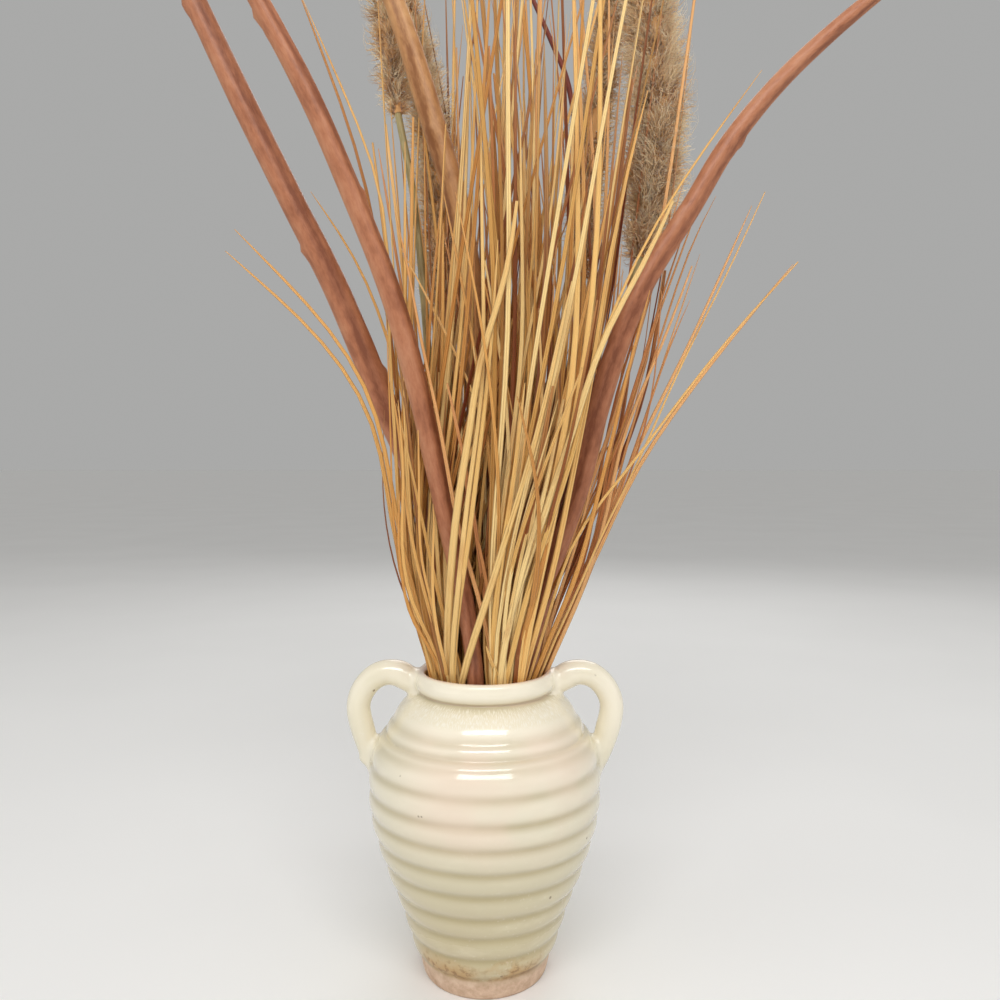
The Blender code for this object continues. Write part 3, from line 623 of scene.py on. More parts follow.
def makeVase():
    centre = (vase["mouthRadius"] + vase["rimRounding"], vase["height"] - vase["rimRounding"])
    rim = [(centre[0] - vase["rimRounding"] * math.cos(a), centre[1] + vase["rimRounding"] * math.sin(a))
           for a in np.linspace(0.0, math.pi, 15)]
    collar = [(vase["collarRadius"] + out, z) for out, z in vase["collar"]]
    outer = rounded(ringLine(), 2)
    foot = [vase["footBand"], (0.0430, 0.0095), (0.0421, 0.0050), (vase["footRadius"] + 0.0002, 0.0018),
            (vase["footRadius"] - 0.0004, 0.0006), (vase["footRadius"] - 0.0016, 0.0), (0.0, 0.0)]
    line = innerLine() + rim + collar + [tuple(p) for p in outer] + foot
    body = spun(line, vase["segments"])

    handles = []
    for side in (-1, 1):
        route = smoothRoute([(side * out, 0.0, z) for out, z in vase["handleLine"]], vase["handleRings"])
        route = rounded(route, 12)
        t = np.linspace(0.0, 1.0, vase["handleRings"])
        thick = vase["handleRadius"] * np.interp(t, *vase["handleThick"])
        wobble = 1.0 + 0.020 * np.sin(9 * t + side)
        template = tube(vase["handleSides"], vase["handleRings"])
        handles.append(laidOnce(template, route, thick * wobble, thick / wobble)[0])
    handlePair = joined("handles", handles)
    above = vase["height"] + 0.03
    hollow = spun([(0.0, above), (vase["mouthRadius"] + 0.0022, above)] + innerLine(0.0022)[::-1], 96)
    handlePair = combined(handlePair, "DIFFERENCE", hollow, 0.70, 0.999)
    for mesh in (body, body, handlePair, handlePair):    # two empty slots each, to tell the two apart
        mesh.materials.append(None)
    handlePair.polygons.foreach_set("material_index", [1] * len(handlePair.polygons))
    whole = combined(body, "UNION", handlePair, 1.01, 1.20)

    # soft webs where the handles were luted on
    bm = bmesh.new()
    bm.from_mesh(whole)
    bmesh.ops.remove_doubles(bm, verts=bm.verts, dist=0.00002)
    seam = [v for v in bm.verts if len({f.material_index for f in v.link_faces}) > 1]
    tree = KDTree(len(seam))
    for i, v in enumerate(seam):
        tree.insert(v.co, i)
    tree.balance()
    for reach, passes in vase["webs"]:
        near = [v for v in bm.verts if tree.find(v.co)[2] < reach
                and v.co.xy.length > vase["mouthRadius"] + 0.003 and v.co.z < vase["height"] + 0.01]
        for _ in range(passes):
            bmesh.ops.smooth_vert(bm, verts=near, factor=0.5, use_axis_x=True, use_axis_y=True,
                                  use_axis_z=True)
    for face in bm.faces:
        face.material_index = 0
    bmesh.ops.remove_doubles(bm, verts=bm.verts, dist=0.00002)
    mesh = meshFrom(bm, "vase_glazed")

    # thrown by hand: a little out of round, with a pinched lump of clay at one handle's foot
    places = readPlaces(mesh)
    bearing = np.arctan2(places[:, 1], places[:, 0])
    radius = np.hypot(places[:, 0], places[:, 1])
    level = np.clip(places[:, 2] / vase["height"], 0.0, 1.0)
    skin = np.interp(places[:, 2], outer[::-1, 1], outer[::-1, 0])
    onBody = np.sin(math.pi * level) * np.clip((skin + 0.012 - radius) / 0.012, 0.0, 1.0)
    swell = 1.0 + 0.0035 * onBody * (np.sin(bearing * 2 + 0.8) + 0.6 * np.sin(bearing * 3 + level * 9))
    tilt = 0.0007 * onBody * np.cos(bearing - 0.6 + level * 7)
    places[:, :2] *= swell[:, None]
    places[:, 2] += tilt
    away = (places - vase["lump"]) / vase["lumpSize"]
    places[:, 0] -= vase["lumpPush"] * np.exp(-np.sum(away ** 2, axis=1))
    writePlaces(mesh, places)

    radius = np.hypot(places[:, 0], places[:, 1])
    grooves = np.array(vase["grooves"])
    skin = np.interp(places[:, 2], outer[::-1, 1], outer[::-1, 0])
    wallSkin = (radius > skin - 0.003) & (radius < skin + 0.0012)
    # each groove's tint, for glaze pooled in it and for painted shade in its hollow
    poolingAndShadeMarks = np.exp(-((places[:, 2, None] - grooves[:, 1]) / 0.0030) ** 2) * vase["groovePoolingAndShade"]
    groove = np.max(poolingAndShadeMarks, axis=1) * wallSkin
    innerRadii, innerHeights = zip(*innerLine()[1:])
    inner = np.interp(places[:, 2], innerHeights, innerRadii)
    inside = (radius < inner + 0.0012) & (places[:, 2] > vase["floor"] - 0.001)
    rimEdge = np.clip((vase["mouthRadius"] + 0.0056 - radius) / 0.0030, 0.0, 1.0) * (places[:, 2] > 0.1860)
    foot = np.clip((vase["footBand"][1] + 0.0009 - places[:, 2]) / 0.0012, 0.0, 1.0) * ~inside
    setAttribute(mesh, "groove", groove)
    setAttribute(mesh, "inside", np.maximum(inside * 1.0, rimEdge))
    setAttribute(mesh, "foot", foot)
    return finished("vase_glazed", mesh, "glaze", "vase")


makeVase()
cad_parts["dry_foam"].data.materials.clear()
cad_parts["dry_foam"].data.materials.append(materials["foam"])
print("vase made")


# branches

foamTop = 0.170
stemFoot = 0.110
buttFoot = 0.148
goldenAngle = math.radians(137.5)    # scatters evenly around a stem

branches = {
    "sides": 26,
    "rings": 150,
    "budLength": 0.010,
    "budHeight": 0.0042,
    "scar": 0.00035,
}

branchRoutes = {
    "branch_1": {
        "route": mm(-15, -4, 170, -20, -4, 205, -28, -4, 255, -40, -4, 312, -65, -4, 374, -94.6, -10, 447,
            -122.8, -18, 505, -150.1, -25, 562, -176, -30, 618, -208, -36, 690, -234, -42, 752),
        "radii": (0.0060, 0.0082, 0.0034),
        "buds": [(0.42, 200), (0.55, 20), (0.7, 250), (0.78, 10), (0.86, 150)],
        "slot": "terracotta_branch",
    },
    "branch_2": {
        "route": mm(-5, -24, 170, -6, -28, 205, -11.6, -30, 247, -22, -31, 295, -31.1, -31, 338, -41.7, -35,
            387, -56.8, -40, 441, -78.4, -46, 497, -101.1, -54, 550, -128.1, -62, 601, -164, -70, 664, -198,
            -78, 722),
        "radii": (0.0050, 0.0071, 0.0026),
        "buds": [(0.21, 280), (0.26, 240), (0.45, 80), (0.6, 200), (0.77, 0), (0.88, 170)],
        "slot": "terracotta_branch",
    },
    "branch_3": {
        "route": mm(-1, 6, 170, -1.5, 8, 217, -2.9, 9, 278, -5.5, 11, 370, -9.5, 13, 450, -19, 14, 510, -34.5,
            15, 562, -50, 16, 613, -68, 16, 662, -93, 14, 720, -116, 12, 768),
        "radii": (0.0054, 0.0084, 0.0034),
        "buds": [(0.5, 260), (0.66, 60), (0.75, 300), (0.9, 200)],
        "slot": "tan_branch",
    },
    "branch_4": {
        "route": mm(13, 29, 170, 20, 34, 215, 40, 50, 290, 56, 64, 360, 67, 76, 440, 71.5, 85, 520, 69, 91,
            575, 61, 95, 624, 49, 99, 656, 35, 104, 690, 18, 108, 728),
        "radii": (0.0030, 0.0027, 0.0014),
        "buds": [(0.62, 30), (0.74, 200), (0.88, 100)],
        "slot": "dark_branch",
    },
    "branch_5": {
        "route": mm(23, -10, 170, 29, -12, 205, 40.9, -14, 261, 60, -16, 319, 71.5, -18, 368, 83.8, -20, 409,
            101.1, -20, 450, 129, -20, 495, 154.9, -20, 538, 190.6, -20, 580, 239.6, -20, 623.5, 284, -20,
            656),
        "radii": (0.0050, 0.0069, 0.0022),
        "buds": [(0.52, 330), (0.63, 40), (0.72, 180), (0.8, 100), (0.9, 280)],
        "slot": "terracotta_branch",
    },
}


def stemRoute(route, count):
    # straight in the foam, then along the curve
    x, y = route[0][:2]
    above = smoothRoute([(x, y, foamTop + 0.002)] + route[1:], count)
    below = max(3, int(count * (foamTop - stemFoot) / travelled(above)[-1]))
    return np.vstack([np.linspace((x, y, stemFoot), (x, y, foamTop), below), above])


def makeBranch(name, spec, seed):
    route = stemRoute(spec["route"], branches["rings"])
    rings = len(route)
    far = travelled(route)
    part = far / far[-1]
    foot, middle, tip = spec["radii"]
    radii = np.interp(part, [0.0, 0.12, 0.45, 0.70, 0.92, 1.0],
                      [foot, foot, middle, 0.92 * middle, 0.65 * middle, tip])
    radii *= np.interp(part, [0.0, 0.985, 0.996, 1.0], [1.0, 1.0, 0.75, 0.30])
    mesh = tube(branches["sides"], rings)
    local = readPlaces(mesh)
    ring = np.rint(local[:, 2]).astype(int)
    angle = np.arctan2(local[:, 1], local[:, 0])
    length = far[ring]

    # oval in section, a groove that wanders along one side and a low ridge on the other
    rng = random.Random(seed)
    start = rng.uniform(-0.4, 0.4)
    wander = math.radians(60) * np.sin(4.2 * part[ring] + rng.uniform(0, 6)) + start
    lobes = 1.0 + 0.05 * np.cos(2 * (angle - wander))
    gap = np.angle(np.exp(1j * (angle - wander - 1.35)))
    crest = np.angle(np.exp(1j * (angle - wander + 1.0)))
    free = np.clip((length - (foamTop - stemFoot) - 0.004) / 0.02, 0.0, 1.0)
    groove = np.exp(-(gap / 0.38) ** 2)
    ridge = np.exp(-(crest / 0.55) ** 2)
    rough = np.array([noise.fractal((math.cos(a) * 1.3, math.sin(a) * 1.3 + seed, s * 46.0), 1.0, 2.0, 3)
                      for a, s in zip(angle, length)])
    shape = radii[ring] * (1.0 + free * (lobes - 1.0 - 0.10 * groove + 0.05 * ridge + 0.020 * rough))

    # buds: a scale that rises slowly from below and ends in a small point, over a faint scar
    height = min(branches["budHeight"], 0.42 * middle)
    for where, bearing in spec["buds"]:
        turn = np.angle(np.exp(1j * (angle - math.radians(bearing))))
        ahead = (length - where * far[-1]) / branches["budLength"]
        rise = np.exp(-((ahead - 0.35) / np.where(ahead < 0.35, 0.55, 0.20)) ** 2)
        shape += height * 0.55 * rise * np.exp(-(turn / 0.42) ** 2) * free
        scar = np.exp(-((ahead + 0.75) / 0.16) ** 2) * np.exp(-(turn / 0.85) ** 2)
        shape += branches["scar"] * scar * free
    side, front = carriers(route, np.zeros(rings))
    places = route[ring] + (side[ring] * (np.cos(angle) * shape)[:, None]
                            + front[ring] * (np.sin(angle) * shape)[:, None])
    writePlaces(mesh, places)
    setAttribute(mesh, "grain", np.stack([np.cos(angle), np.sin(angle), length * 10 + seed], axis=1))
    # ridge: lighter on the ridge and darker in the groove, a painted highlight and painted shade
    setAttribute(mesh, "ridge", ridge - groove)
    return finished(name + "_bark", mesh, spec["slot"], name)


for seed, (name, spec) in enumerate(branchRoutes.items()):
    makeBranch(name, spec, seed + 1)
print("branches made:", len(branchRoutes))


# reeds

reeds = {
    "stalkRadius": 0.0030,
    "stalkTip": 0.0024,
    "seat": 0.012,
    "stations": (0.0, 0.12, 0.35, 0.75, 1.0),
    "reach": (0.55, 0.90, 1.0, 0.85, 0.45),
    "core": 0.46,
    "hairHalfWidth": 0.00034,
    "topLength": 0.014,
    "lean": (42, 100),                      # degrees from the stalk
    "hairLength": (0.005, 0.020),
    "hairSteps": (0.0, 0.40, 0.75, 1.0),
    "hairWidths": (1.1, 1.0, 0.8, 0.0),
}

reedRoutes = {
    "1": {
        "stalk": mm(-7, 21, 170, -10, 28, 230, -18, 42, 320, -26, 54, 400),
        "plume": mm(-28, 58, 428, -32.4, 67, 485, -38.7, 76, 567, -53, 82, 642, -66, 85, 700),
        "reach": 0.0160, "clumps": 300, "hairs": 24, "pale": 0.20, "fuzz": 1.45,
    },
    "2": {
        "stalk": mm(-24, 17, 170, -28, 20, 230, -34, 26, 330, -42.7, 34, 449, -50, 40, 520),
        "plume": mm(-61, 44, 580, -65.5, 47, 615, -70, 51, 670, -74, 55, 730, -79, 58, 775),
        "reach": 0.0130, "clumps": 200, "hairs": 23, "pale": 0.08, "fuzz": 1.45,
    },
    "3": {
        "stalk": mm(12, 16, 170, 22, 22, 230, 44, 33, 330, 62, 43, 420),
        "plume": mm(68, 50, 468, 71.5, 57, 525, 79, 62, 590, 88, 64, 650, 96, 66, 715),
        "reach": 0.0125, "clumps": 260, "hairs": 23, "pale": 0.00, "fuzz": 1.60,
    },
    "4": {
        "stalk": mm(24, 12, 170, 34, 13, 230, 60.5, 16, 338, 87, 20, 420),
        "plume": mm(105, 24, 476, 113.1, 26, 520, 115.8, 27, 570, 112.5, 27, 625, 104, 27, 680, 96, 27, 720),
        "reach": 0.0225, "clumps": 430, "hairs": 26, "pale": 0.14, "fuzz": 1.20,
    },
}


def makeStalk(number, spec):
    plume = smoothRoute(spec["plume"], 8)
    up = unit(plume[1] - plume[0])
    ends = [tuple(plume[0] + up * far) for far in (-0.004, reeds["seat"])]
    route = stemRoute(spec["stalk"] + ends, 60)
    rings = len(route)
    part = np.linspace(0.0, 1.0, rings)
    radii = np.linspace(reeds["stalkRadius"], reeds["stalkTip"], rings)
    above = route[:, 2] > foamTop + 0.01
    for where in (0.44, 0.72):      # a joint in the reed, a little swollen
        radii = radii + 0.00045 * np.exp(-((part - where) / 0.012) ** 2) * above
    mesh, grain = laidOnce(tube(14, rings), route, radii)
    grain[:, 2] = grain[:, 2] * 4 + int(number)
    setAttribute(mesh, "grain", grain)
    return finished("reed_stalk_" + number + "_cane", mesh, "stalk", "reed_stalk_" + number)


def alongLine(line, t):
    index = np.clip(t, 0.0, 1.0) * (len(line) - 1)
    low = np.minimum(index.astype(int), len(line) - 2)
    return line[low] + (line[low + 1] - line[low]) * (index - low)[..., None]


def makePlume(number, spec):
    rng = np.random.default_rng(40 + int(number))
    line = smoothRoute(spec["plume"], 60)
    side, front = carriers(line, np.zeros(60))
    along = unit(np.gradient(line, axis=0))
    part = np.linspace(0.0, 1.0, 60)
    reach = spec["reach"] * np.interp(part, reeds["stations"], reeds["reach"])
    fuzz = reach * spec["fuzz"]
    core = reach * reeds["core"] * np.interp(part, [0.0, 0.10, 0.25, 0.97, 1.0], [0.0, 0.35, 1.0, 1.0, 0.45])
    core = np.maximum(core, (reeds["stalkTip"] + 0.0007) * np.interp(part, [0.0, 0.4, 1.0], [1.0, 1.0, 0.4]))

    heart, heartGrain = laidOnce(tube(18, 60), line, core)
    heartGrain[:] = 0.0, 0.0, 0.2

    # woolly clumps of hairs that stand out from the core and curl at their tips
    clumps = spec["clumps"]
    t = np.clip((np.arange(clumps) + rng.uniform(-0.8, 0.8, clumps)) / clumps, 0.004, 0.995)
    bearing = goldenAngle * np.arange(clumps) + rng.uniform(-0.5, 0.5, clumps)
    lean = np.radians(rng.uniform(*reeds["lean"], clumps)) * np.interp(t, [0, 0.88, 1.0], [1.0, 1.0, 0.30])
    local = np.interp(t, part, fuzz)
    inner = np.interp(t, part, core)
    length = (local * rng.uniform(0.80, 1.04, clumps) - inner * 0.8) / np.maximum(np.sin(lean), 0.45)
    length = np.clip(length, *reeds["hairLength"])
    curl = rng.uniform(-1.0, 1.0, clumps)
    clumpTone = rng.beta(0.7, 0.8, clumps)

    row = np.repeat(np.arange(clumps), spec["hairs"])
    n = len(row)
    hairT = np.clip(t[row] + rng.normal(0, 0.005, n), 0.0, 1.0)
    hairBearing = bearing[row] + rng.normal(0, 0.19, n)
    sideAt = alongLine(side, hairT)
    frontAt = alongLine(front, hairT)
    upAt = alongLine(along, hairT)
    out = sideAt * np.cos(hairBearing)[:, None] + frontAt * np.sin(hairBearing)[:, None]
    clumpOut = sideAt * np.cos(bearing[row])[:, None] + frontAt * np.sin(bearing[row])[:, None]
    swing = sideAt * -np.sin(bearing[row])[:, None] + frontAt * np.cos(bearing[row])[:, None]
    root = alongLine(line, hairT) + out * (inner[row] * 0.85)[:, None]
    reachOut = (length[row] * rng.uniform(0.45, 1.08, n))[:, None]
    way = clumpOut * np.sin(lean[row])[:, None] + upAt * np.cos(lean[row])[:, None]
    stray = rng.normal(0, 0.28, (n, 3))
    tipPlace = root + (way + stray) * reachOut
    bend = swing * (curl[row] + rng.normal(0, 0.35, n))[:, None] + upAt * rng.normal(0.10, 0.60, n)[:, None]
    midPlace = (root + tipPlace) / 2 + bend * reachOut * 0.95 + out * reachOut * 0.25
    steps = np.array(reeds["hairSteps"])[None, :, None]
    routes = (root[:, None] * (1 - steps) ** 2 + 2 * midPlace[:, None] * steps * (1 - steps)
              + tipPlace[:, None] * steps ** 2)

    # no hair stands out past the plume's own reach
    nearest = alongLine(line, hairT)
    offset = routes - nearest[:, None]
    upward = np.sum(offset * upAt[:, None], axis=-1, keepdims=True)
    across = offset - upAt[:, None] * upward
    wide = np.linalg.norm(across, axis=-1, keepdims=True)
    limit = np.interp(hairT, part, fuzz)[:, None, None] * 1.06
    across *= np.minimum(1.0, limit / np.maximum(wide, 1e-9))
    upward = np.minimum(upward, ((1 - hairT) * spec["reach"] * 12 + reeds["topLength"])[:, None, None])
    routes = nearest[:, None] + across + upAt[:, None] * upward

    half = np.full((n, 4), reeds["hairHalfWidth"]) * reeds["hairWidths"]
    mesh, grain, owner = laidAlong(spike(3, 2), routes, rng.uniform(0, 6, (n, 1)), half, half)
    grain[:, 2] = grain[:, 2] * rng.uniform(0.80, 1.0, n)[owner]
    tone = (clumpTone[row] * 0.80 + rng.uniform(0, 0.20, n))[owner]
    tone = tone + (1.0 - tone) * spec["pale"]
    whole = joined("plume", [heart, mesh])
    inBox(whole)
    whole.shade_smooth()
    setAttribute(whole, "grain", np.vstack([heartGrain, grain]))
    setAttribute(whole, "tone", np.concatenate([np.full(len(heartGrain), 0.32), tone]))
    return finished("reed_plume_" + number + "_fluff", whole, "fluff", "reed_plume_" + number)


for number, spec in reedRoutes.items():
    makeStalk(number, spec)
    makePlume(number, spec)
print("reeds made:", len(reedRoutes))


# grass

grass = {
    "blades": 28,               # in each tuft
    "tries": 14,                # for a blade that leaves the branches in sight
    "rings": 18,
    "outline": [(-1.0, 0.0), (-0.45, 0.85), (0.0, 0.35), (0.5, 0.9), (1.0, 0.0), (0.0, -0.7)],
    "widths": (0.0020, 0.0054),
    "thickness": 0.20,
    "tips": (0.370, 0.780),
    "tipsLean": 1.75,
    "crossing": (0.40, 0.34),
    "wander": 0.006,
    "mouth": 0.0375,
    "spread": (0.0030, 0.0085),     # of a tuft's blades, at the foam and at the mouth
    "buttRadius": 0.0046,
    "buttTop": 0.182,
    "strayWidth": 0.0034,
    "stations": (0.0, 0.18, 0.5, 0.9, 1.0),     # up a blade, for its width when blunt or pointed
    "blunt": (0.85, 1.0, 0.86, 0.62, 0.36),
    "pointed": (0.85, 1.0, 0.84, 0.50, 0.12),
    "forward": 1.45,            # how far the followed blades stand out at the front
}

tufts = {
    "01": (-0.0270, -0.0120, "straw_gold"),
    "02": (-0.0180, -0.0220, "straw_pale"),
    "03": (0.0080, -0.0280, "straw_pale"),
    "04": (0.0190, -0.0240, "straw_gold"),
    "05": (0.0295, 0.0020, "straw_rust"),
    "06": (0.0080, -0.0100, "straw_rust"),
    "07": (-0.0035, -0.0095, "straw_pale"),
    "08": (0.0120, 0.0030, "straw_gold"),
    "09": (0.0020, 0.0190, "straw_pale"),
    "10": (-0.0140, 0.0095, "straw_rust"),
    "11": (-0.0280, 0.0030, "straw_gold"),
    "12": (0.0020, 0.0310, "straw_pale"),
    "13": (-0.0155, 0.0275, "straw_gold"),
    "14": (0.0230, 0.0210, "straw_rust"),
}

# height, middle in x, half width of the whole bundle
bundle = np.array(mm(200, 0, 35, 246, -2, 51, 312, 9, 70, 378, 19, 83, 443, 24, 90, 540, 28, 98, 634, 32, 107,
    800, 36, 118))

# heights between which the photograph shows a branch with no loose blade in front of it
inSight = {
    "branch_1": [(0.375, 0.80)],
    "branch_2": [(0.20, 0.268), (0.292, 0.80)],
    "branch_3": [(0.545, 0.80)],
    "branch_5": [(0.33, 0.80)],
}

# long blades that leave the bundle, from the mouth to their tips
strays = {
    "01": [
        mm(-33, -14, 200, -56, -24, 285, -68, -30, 360, -100, -34, 412, -157, -38, 465),
        mm(-31, -17, 200, -52, -28, 285, -66, -36, 368, -94, -40, 418, -149, -45, 476),
    ],
    "11": [
        mm(-32, 6, 200, -50, 12, 300, -66, 16, 440, -84, 18, 540, -128, 20, 660),
    ],
    "05": [
        mm(34.5, 0, 200, 72, -4, 272, 98, -8, 332, 144, -10, 398, 197, -12, 463),
        mm(34, 5, 200, 70, 6, 272, 96, 7, 336, 134, 8, 412, 176, 8, 506),
    ],
    "14": [
        mm(27, 24, 200, 62, 45, 300, 95, 70, 400, 138, 98, 500, 182, 124, 575),
    ],
    "03": [
        mm(6, -34.5, 200, 16.5, -52, 300, 30, -70, 400, 46, -88, 500, 63, -107, 605, 79, -125.5, 708),
    ],
    "13": [
        mm(-18, 31, 200, -44, 60, 300, -66, 86, 400, -100, 120, 490, -146, 150, 560),
        mm(-16, 32, 200, -22, 62, 320, -26, 96, 460, -28, 130, 600, -27, 160, 750),
    ],
}


# the blades that stand out at the front: each one's depth in y at the tip, its width, the places across and
# down the frame that it passes from the mouth up, and its own tone if it has one
seenBlades = {
    "01": [
        (-0.030, 0.0026, [441, 672, 425, 641, 410, 616, 402, 579, 398, 538, 400, 490]),
        (-0.032, 0.0030, [442, 672, 425, 629, 411, 604, 404, 571, 401, 530, 404, 480, 398, 400]),
        (-0.030, 0.0028, [444, 674, 436, 634, 421, 580, 411, 538, 405, 496, 400, 440, 391, 380]),
        (-0.034, 0.0016, [441, 668, 418, 630, 402, 590, 396, 546, 392, 505, 391, 450, 388, 359, 386, 310]),
        (-0.040, 0.0022, [446, 676, 430, 596, 421, 563, 419, 513, 419, 463, 418, 430]),
        (-0.044, 0.0028, [448, 678, 440, 646, 433, 604, 433, 546, 435, 513, 433, 504]),
        (-0.006, 0.0026, [440, 668, 404, 590, 398, 500, 394, 401, 388, 359, 386, 205, 345, 95, 303, 0]),
    ],
    "02": [
        (-0.050, 0.0054, [448, 676, 448, 612, 453, 546, 459, 488, 471, 430, 475, 380, 488, 327, 505, 289,
         517, 201]),
        (-0.046, 0.0036, [453, 679, 457, 612, 467, 554, 474, 496, 480, 447, 490, 360, 498, 240]),
        (-0.048, 0.0036, [450, 677, 453, 637, 461, 563, 467, 500, 482, 400, 484, 306, 482, 243, 481, 120]),
        (-0.056, 0.0048, [461, 680, 480, 621, 496, 571, 511, 521, 526, 476, 538, 430, 553, 369, 561, 327,
         572, 281]),
    ],
    "03": [
        (-0.052, 0.0050, [499, 680, 506, 629, 521, 579, 538, 533, 556, 480, 567, 447, 577, 422, 591, 369,
         612, 317, 633, 285, 665, 222, 673, 201]),
        (-0.046, 0.0040, [506, 680, 518, 629, 531, 579, 548, 530, 564, 483, 577, 440, 594, 360, 608, 264,
         626, 180]),
        (-0.031, 0.0044, [498, 681, 492, 664, 486, 646]),
        (-0.042, 0.0038, [490, 681, 494, 604, 501, 571, 516, 530, 526, 488, 538, 455, 553, 390, 568, 327,
         583, 254, 593, 180]),
        (-0.040, 0.0036, [492, 681, 497, 560, 508, 470, 515, 422, 522, 359, 523, 306, 522, 243, 520, 110]),
        (-0.038, 0.0028, [495, 681, 503, 560, 515, 412, 526, 348, 536, 296, 547, 243, 555, 180, 566, 60]),
        (-0.034, 0.0024, [502, 680, 506, 560, 524, 360, 528, 298, 534, 243, 537, 180, 540, 138]),
    ],
    "04": [
        (-0.040, 0.0040, [521, 678, 539, 626, 553, 571, 564, 523, 571, 480, 590, 390, 604, 300, 625, 180,
         648, 90]),
        (-0.036, 0.0034, [534, 674, 559, 617, 579, 571, 594, 510, 602, 480, 612, 440, 628, 370, 650, 290]),
        (-0.044, 0.0042, [515, 679, 532, 610, 547, 540, 551, 454, 564, 401, 578, 338, 593, 275, 610, 190]),
        (-0.030, 0.0022, [539, 671, 576, 596, 599, 538, 616, 505, 630, 481, 647, 444, 680, 366, 718, 293,
         765, 192]),
        (-0.034, 0.0022, [530, 676, 556, 590, 574, 533, 594, 511, 612, 488, 630, 468, 647, 444, 718, 351,
         798, 262]),
        (-0.048, 0.0024, [512, 680, 527, 600, 545, 520, 566, 440, 601, 340, 640, 250, 672, 196, 712, 138,
         762, 70]),
    ],
    "06": [
        (-0.028, 0.0030, [497, 681, 489, 640, 481, 602, 472, 575, 464, 552, 456, 520, 450, 485, 441, 430,
         431, 385, 420, 338, 410, 275, 395, 212], 0.8),
        (-0.026, 0.0032, [500, 680, 493, 625, 486, 579, 478, 540, 471, 514, 465, 480, 460, 440], 0.65),
    ],
    "05": [
        (-0.002, 0.0025, [548, 666, 575, 600, 600, 530, 612, 460, 640, 370, 664, 290, 690, 215]),
        (0.002, 0.0025, [549, 666, 578, 596, 603, 524, 618, 450, 646, 350, 678, 262, 704, 190]),
        (-0.006, 0.0032, [549, 665, 580, 596, 606, 520, 621, 440, 644, 386, 665, 338, 692, 266], 1.0),
        (0.004, 0.0022, [550, 664, 584, 590, 610, 515, 631, 460, 664, 360, 700, 254], 1.0),
        (0.006, 0.0025, [548, 667, 572, 604, 598, 534, 608, 460, 632, 360, 660, 262, 684, 180]),
        (0.010, 0.0026, [547, 667, 570, 606, 590, 540, 600, 470, 620, 380, 650, 290, 672, 220]),
        (0.008, 0.0022, [550, 664, 581, 594, 606, 526, 626, 446, 656, 352, 690, 246, 716, 196]),
        (0.002, 0.0022, [549, 665, 582, 592, 612, 516, 638, 440, 668, 350, 690, 300]),
    ],
}


def bladeRoute(rng, root, mouth, tip):
    # nearly straight from the mouth to a tip anywhere across the bundle, so that the blades cross
    start = np.array(mouth) / bundle[0, 2]
    start *= min(1.0, 1.0 / np.hypot(*start))
    end = np.array([0.55, 0.60]) * start + rng.normal(0, 1, 2) * grass["crossing"]
    end *= min(1.0, 1.02 / max(np.hypot(*end), 1e-6))
    sway = rng.normal(0, grass["wander"], 2)
    climb = tip - vase["height"]
    points = [(root[0], root[1], foamTop - 0.002), (mouth[0], mouth[1], vase["height"])]
    for share in (0.16, 0.42, 0.70, 1.0):
        z = vase["height"] + share * climb
        middle = np.interp(z, bundle[:, 0], bundle[:, 1])
        spread = np.interp(z, bundle[:, 0], bundle[:, 2])
        way = start + (end - start) * share ** 0.8
        swing = sway * math.sin(math.pi * share)
        points.append((middle + spread * way[0] + swing[0], spread * way[1] + swing[1], z))
    return points


def seenRoute(tipDepth, pixels):
    # a blade followed in the photograph, from the front of the mouth up
    reach = grass["mouth"] - 0.0022
    pixels = np.reshape(pixels, (-1, 2)).tolist()
    depth = -reach
    for _ in range(8):
        place = atPixel(*pixels[0], depth)
        depth = -math.sqrt(max(reach ** 2 - place[0] ** 2, 0.004 ** 2))
    further = grass["forward"] * tipDepth - depth
    shares = [i / (len(pixels) - 1) for i in range(len(pixels))]
    return [atPixel(*pixel, depth + further * share ** 0.6) for pixel, share in zip(pixels, shares)]


def heldAt(line, z):
    # where a line is, in x and y, at each height
    return [np.interp(z, line[:, 2], line[:, i]) for i in range(2)]


branchLines = {name: stemRoute(spec["route"], 60) for name, spec in branchRoutes.items()}


def clearOfBranches(routes, half):
    # pushes blades level with a branch out past its side
    for name, line in branchLines.items():
        foot, middle, _ = branchRoutes[name]["radii"]
        z = routes[..., 2]
        thick = np.interp(z, [foamTop, 0.30, 0.70], [foot, middle, 0.8 * middle]) * 1.10
        centre = np.stack(heldAt(line, z), axis=-1)
        away = routes[..., :2] - centre
        distance = np.linalg.norm(away, axis=-1)
        lean = np.abs(np.gradient(line[:, 0]) / np.maximum(np.gradient(line[:, 2]), 1e-6))
        slant = np.sqrt(1 + np.interp(z, line[:, 2], lean) ** 2)
        needed = (thick + half + 0.0004) * slant
        short = (distance < needed) & (z < line[-1, 2])
        scale = np.where(short, needed / np.maximum(distance, 1e-5), 1.0)
        routes[..., :2] = centre + away * scale[..., None]
    return routes


def hidesBranch(route, half):
    # whether a blade runs through a branch, or hides one from the camera where the photograph shows it
    z = route[:, 2]
    eyeX, eyeY = camera["place"][:2]
    for name, line in branchLines.items():
        thick = branchRoutes[name]["radii"][1]
        x, y = heldAt(line, z)
        level = (z > vase["height"]) & (z < line[-1, 2])
        if np.any(level & (np.hypot(route[:, 0] - x, route[:, 1] - y) < 0.5 * thick)):
            return True
        beside = (route[:, 0] - eyeX) * (y - eyeY) / (route[:, 1] - eyeY) - (x - eyeX)
        covers = level & (np.abs(beside) < 1.15 * thick + half) & (route[:, 1] < y)
        for low, high in inSight.get(name, []):
            if np.any(covers & (z > low) & (z < high)):
                return True
    return False


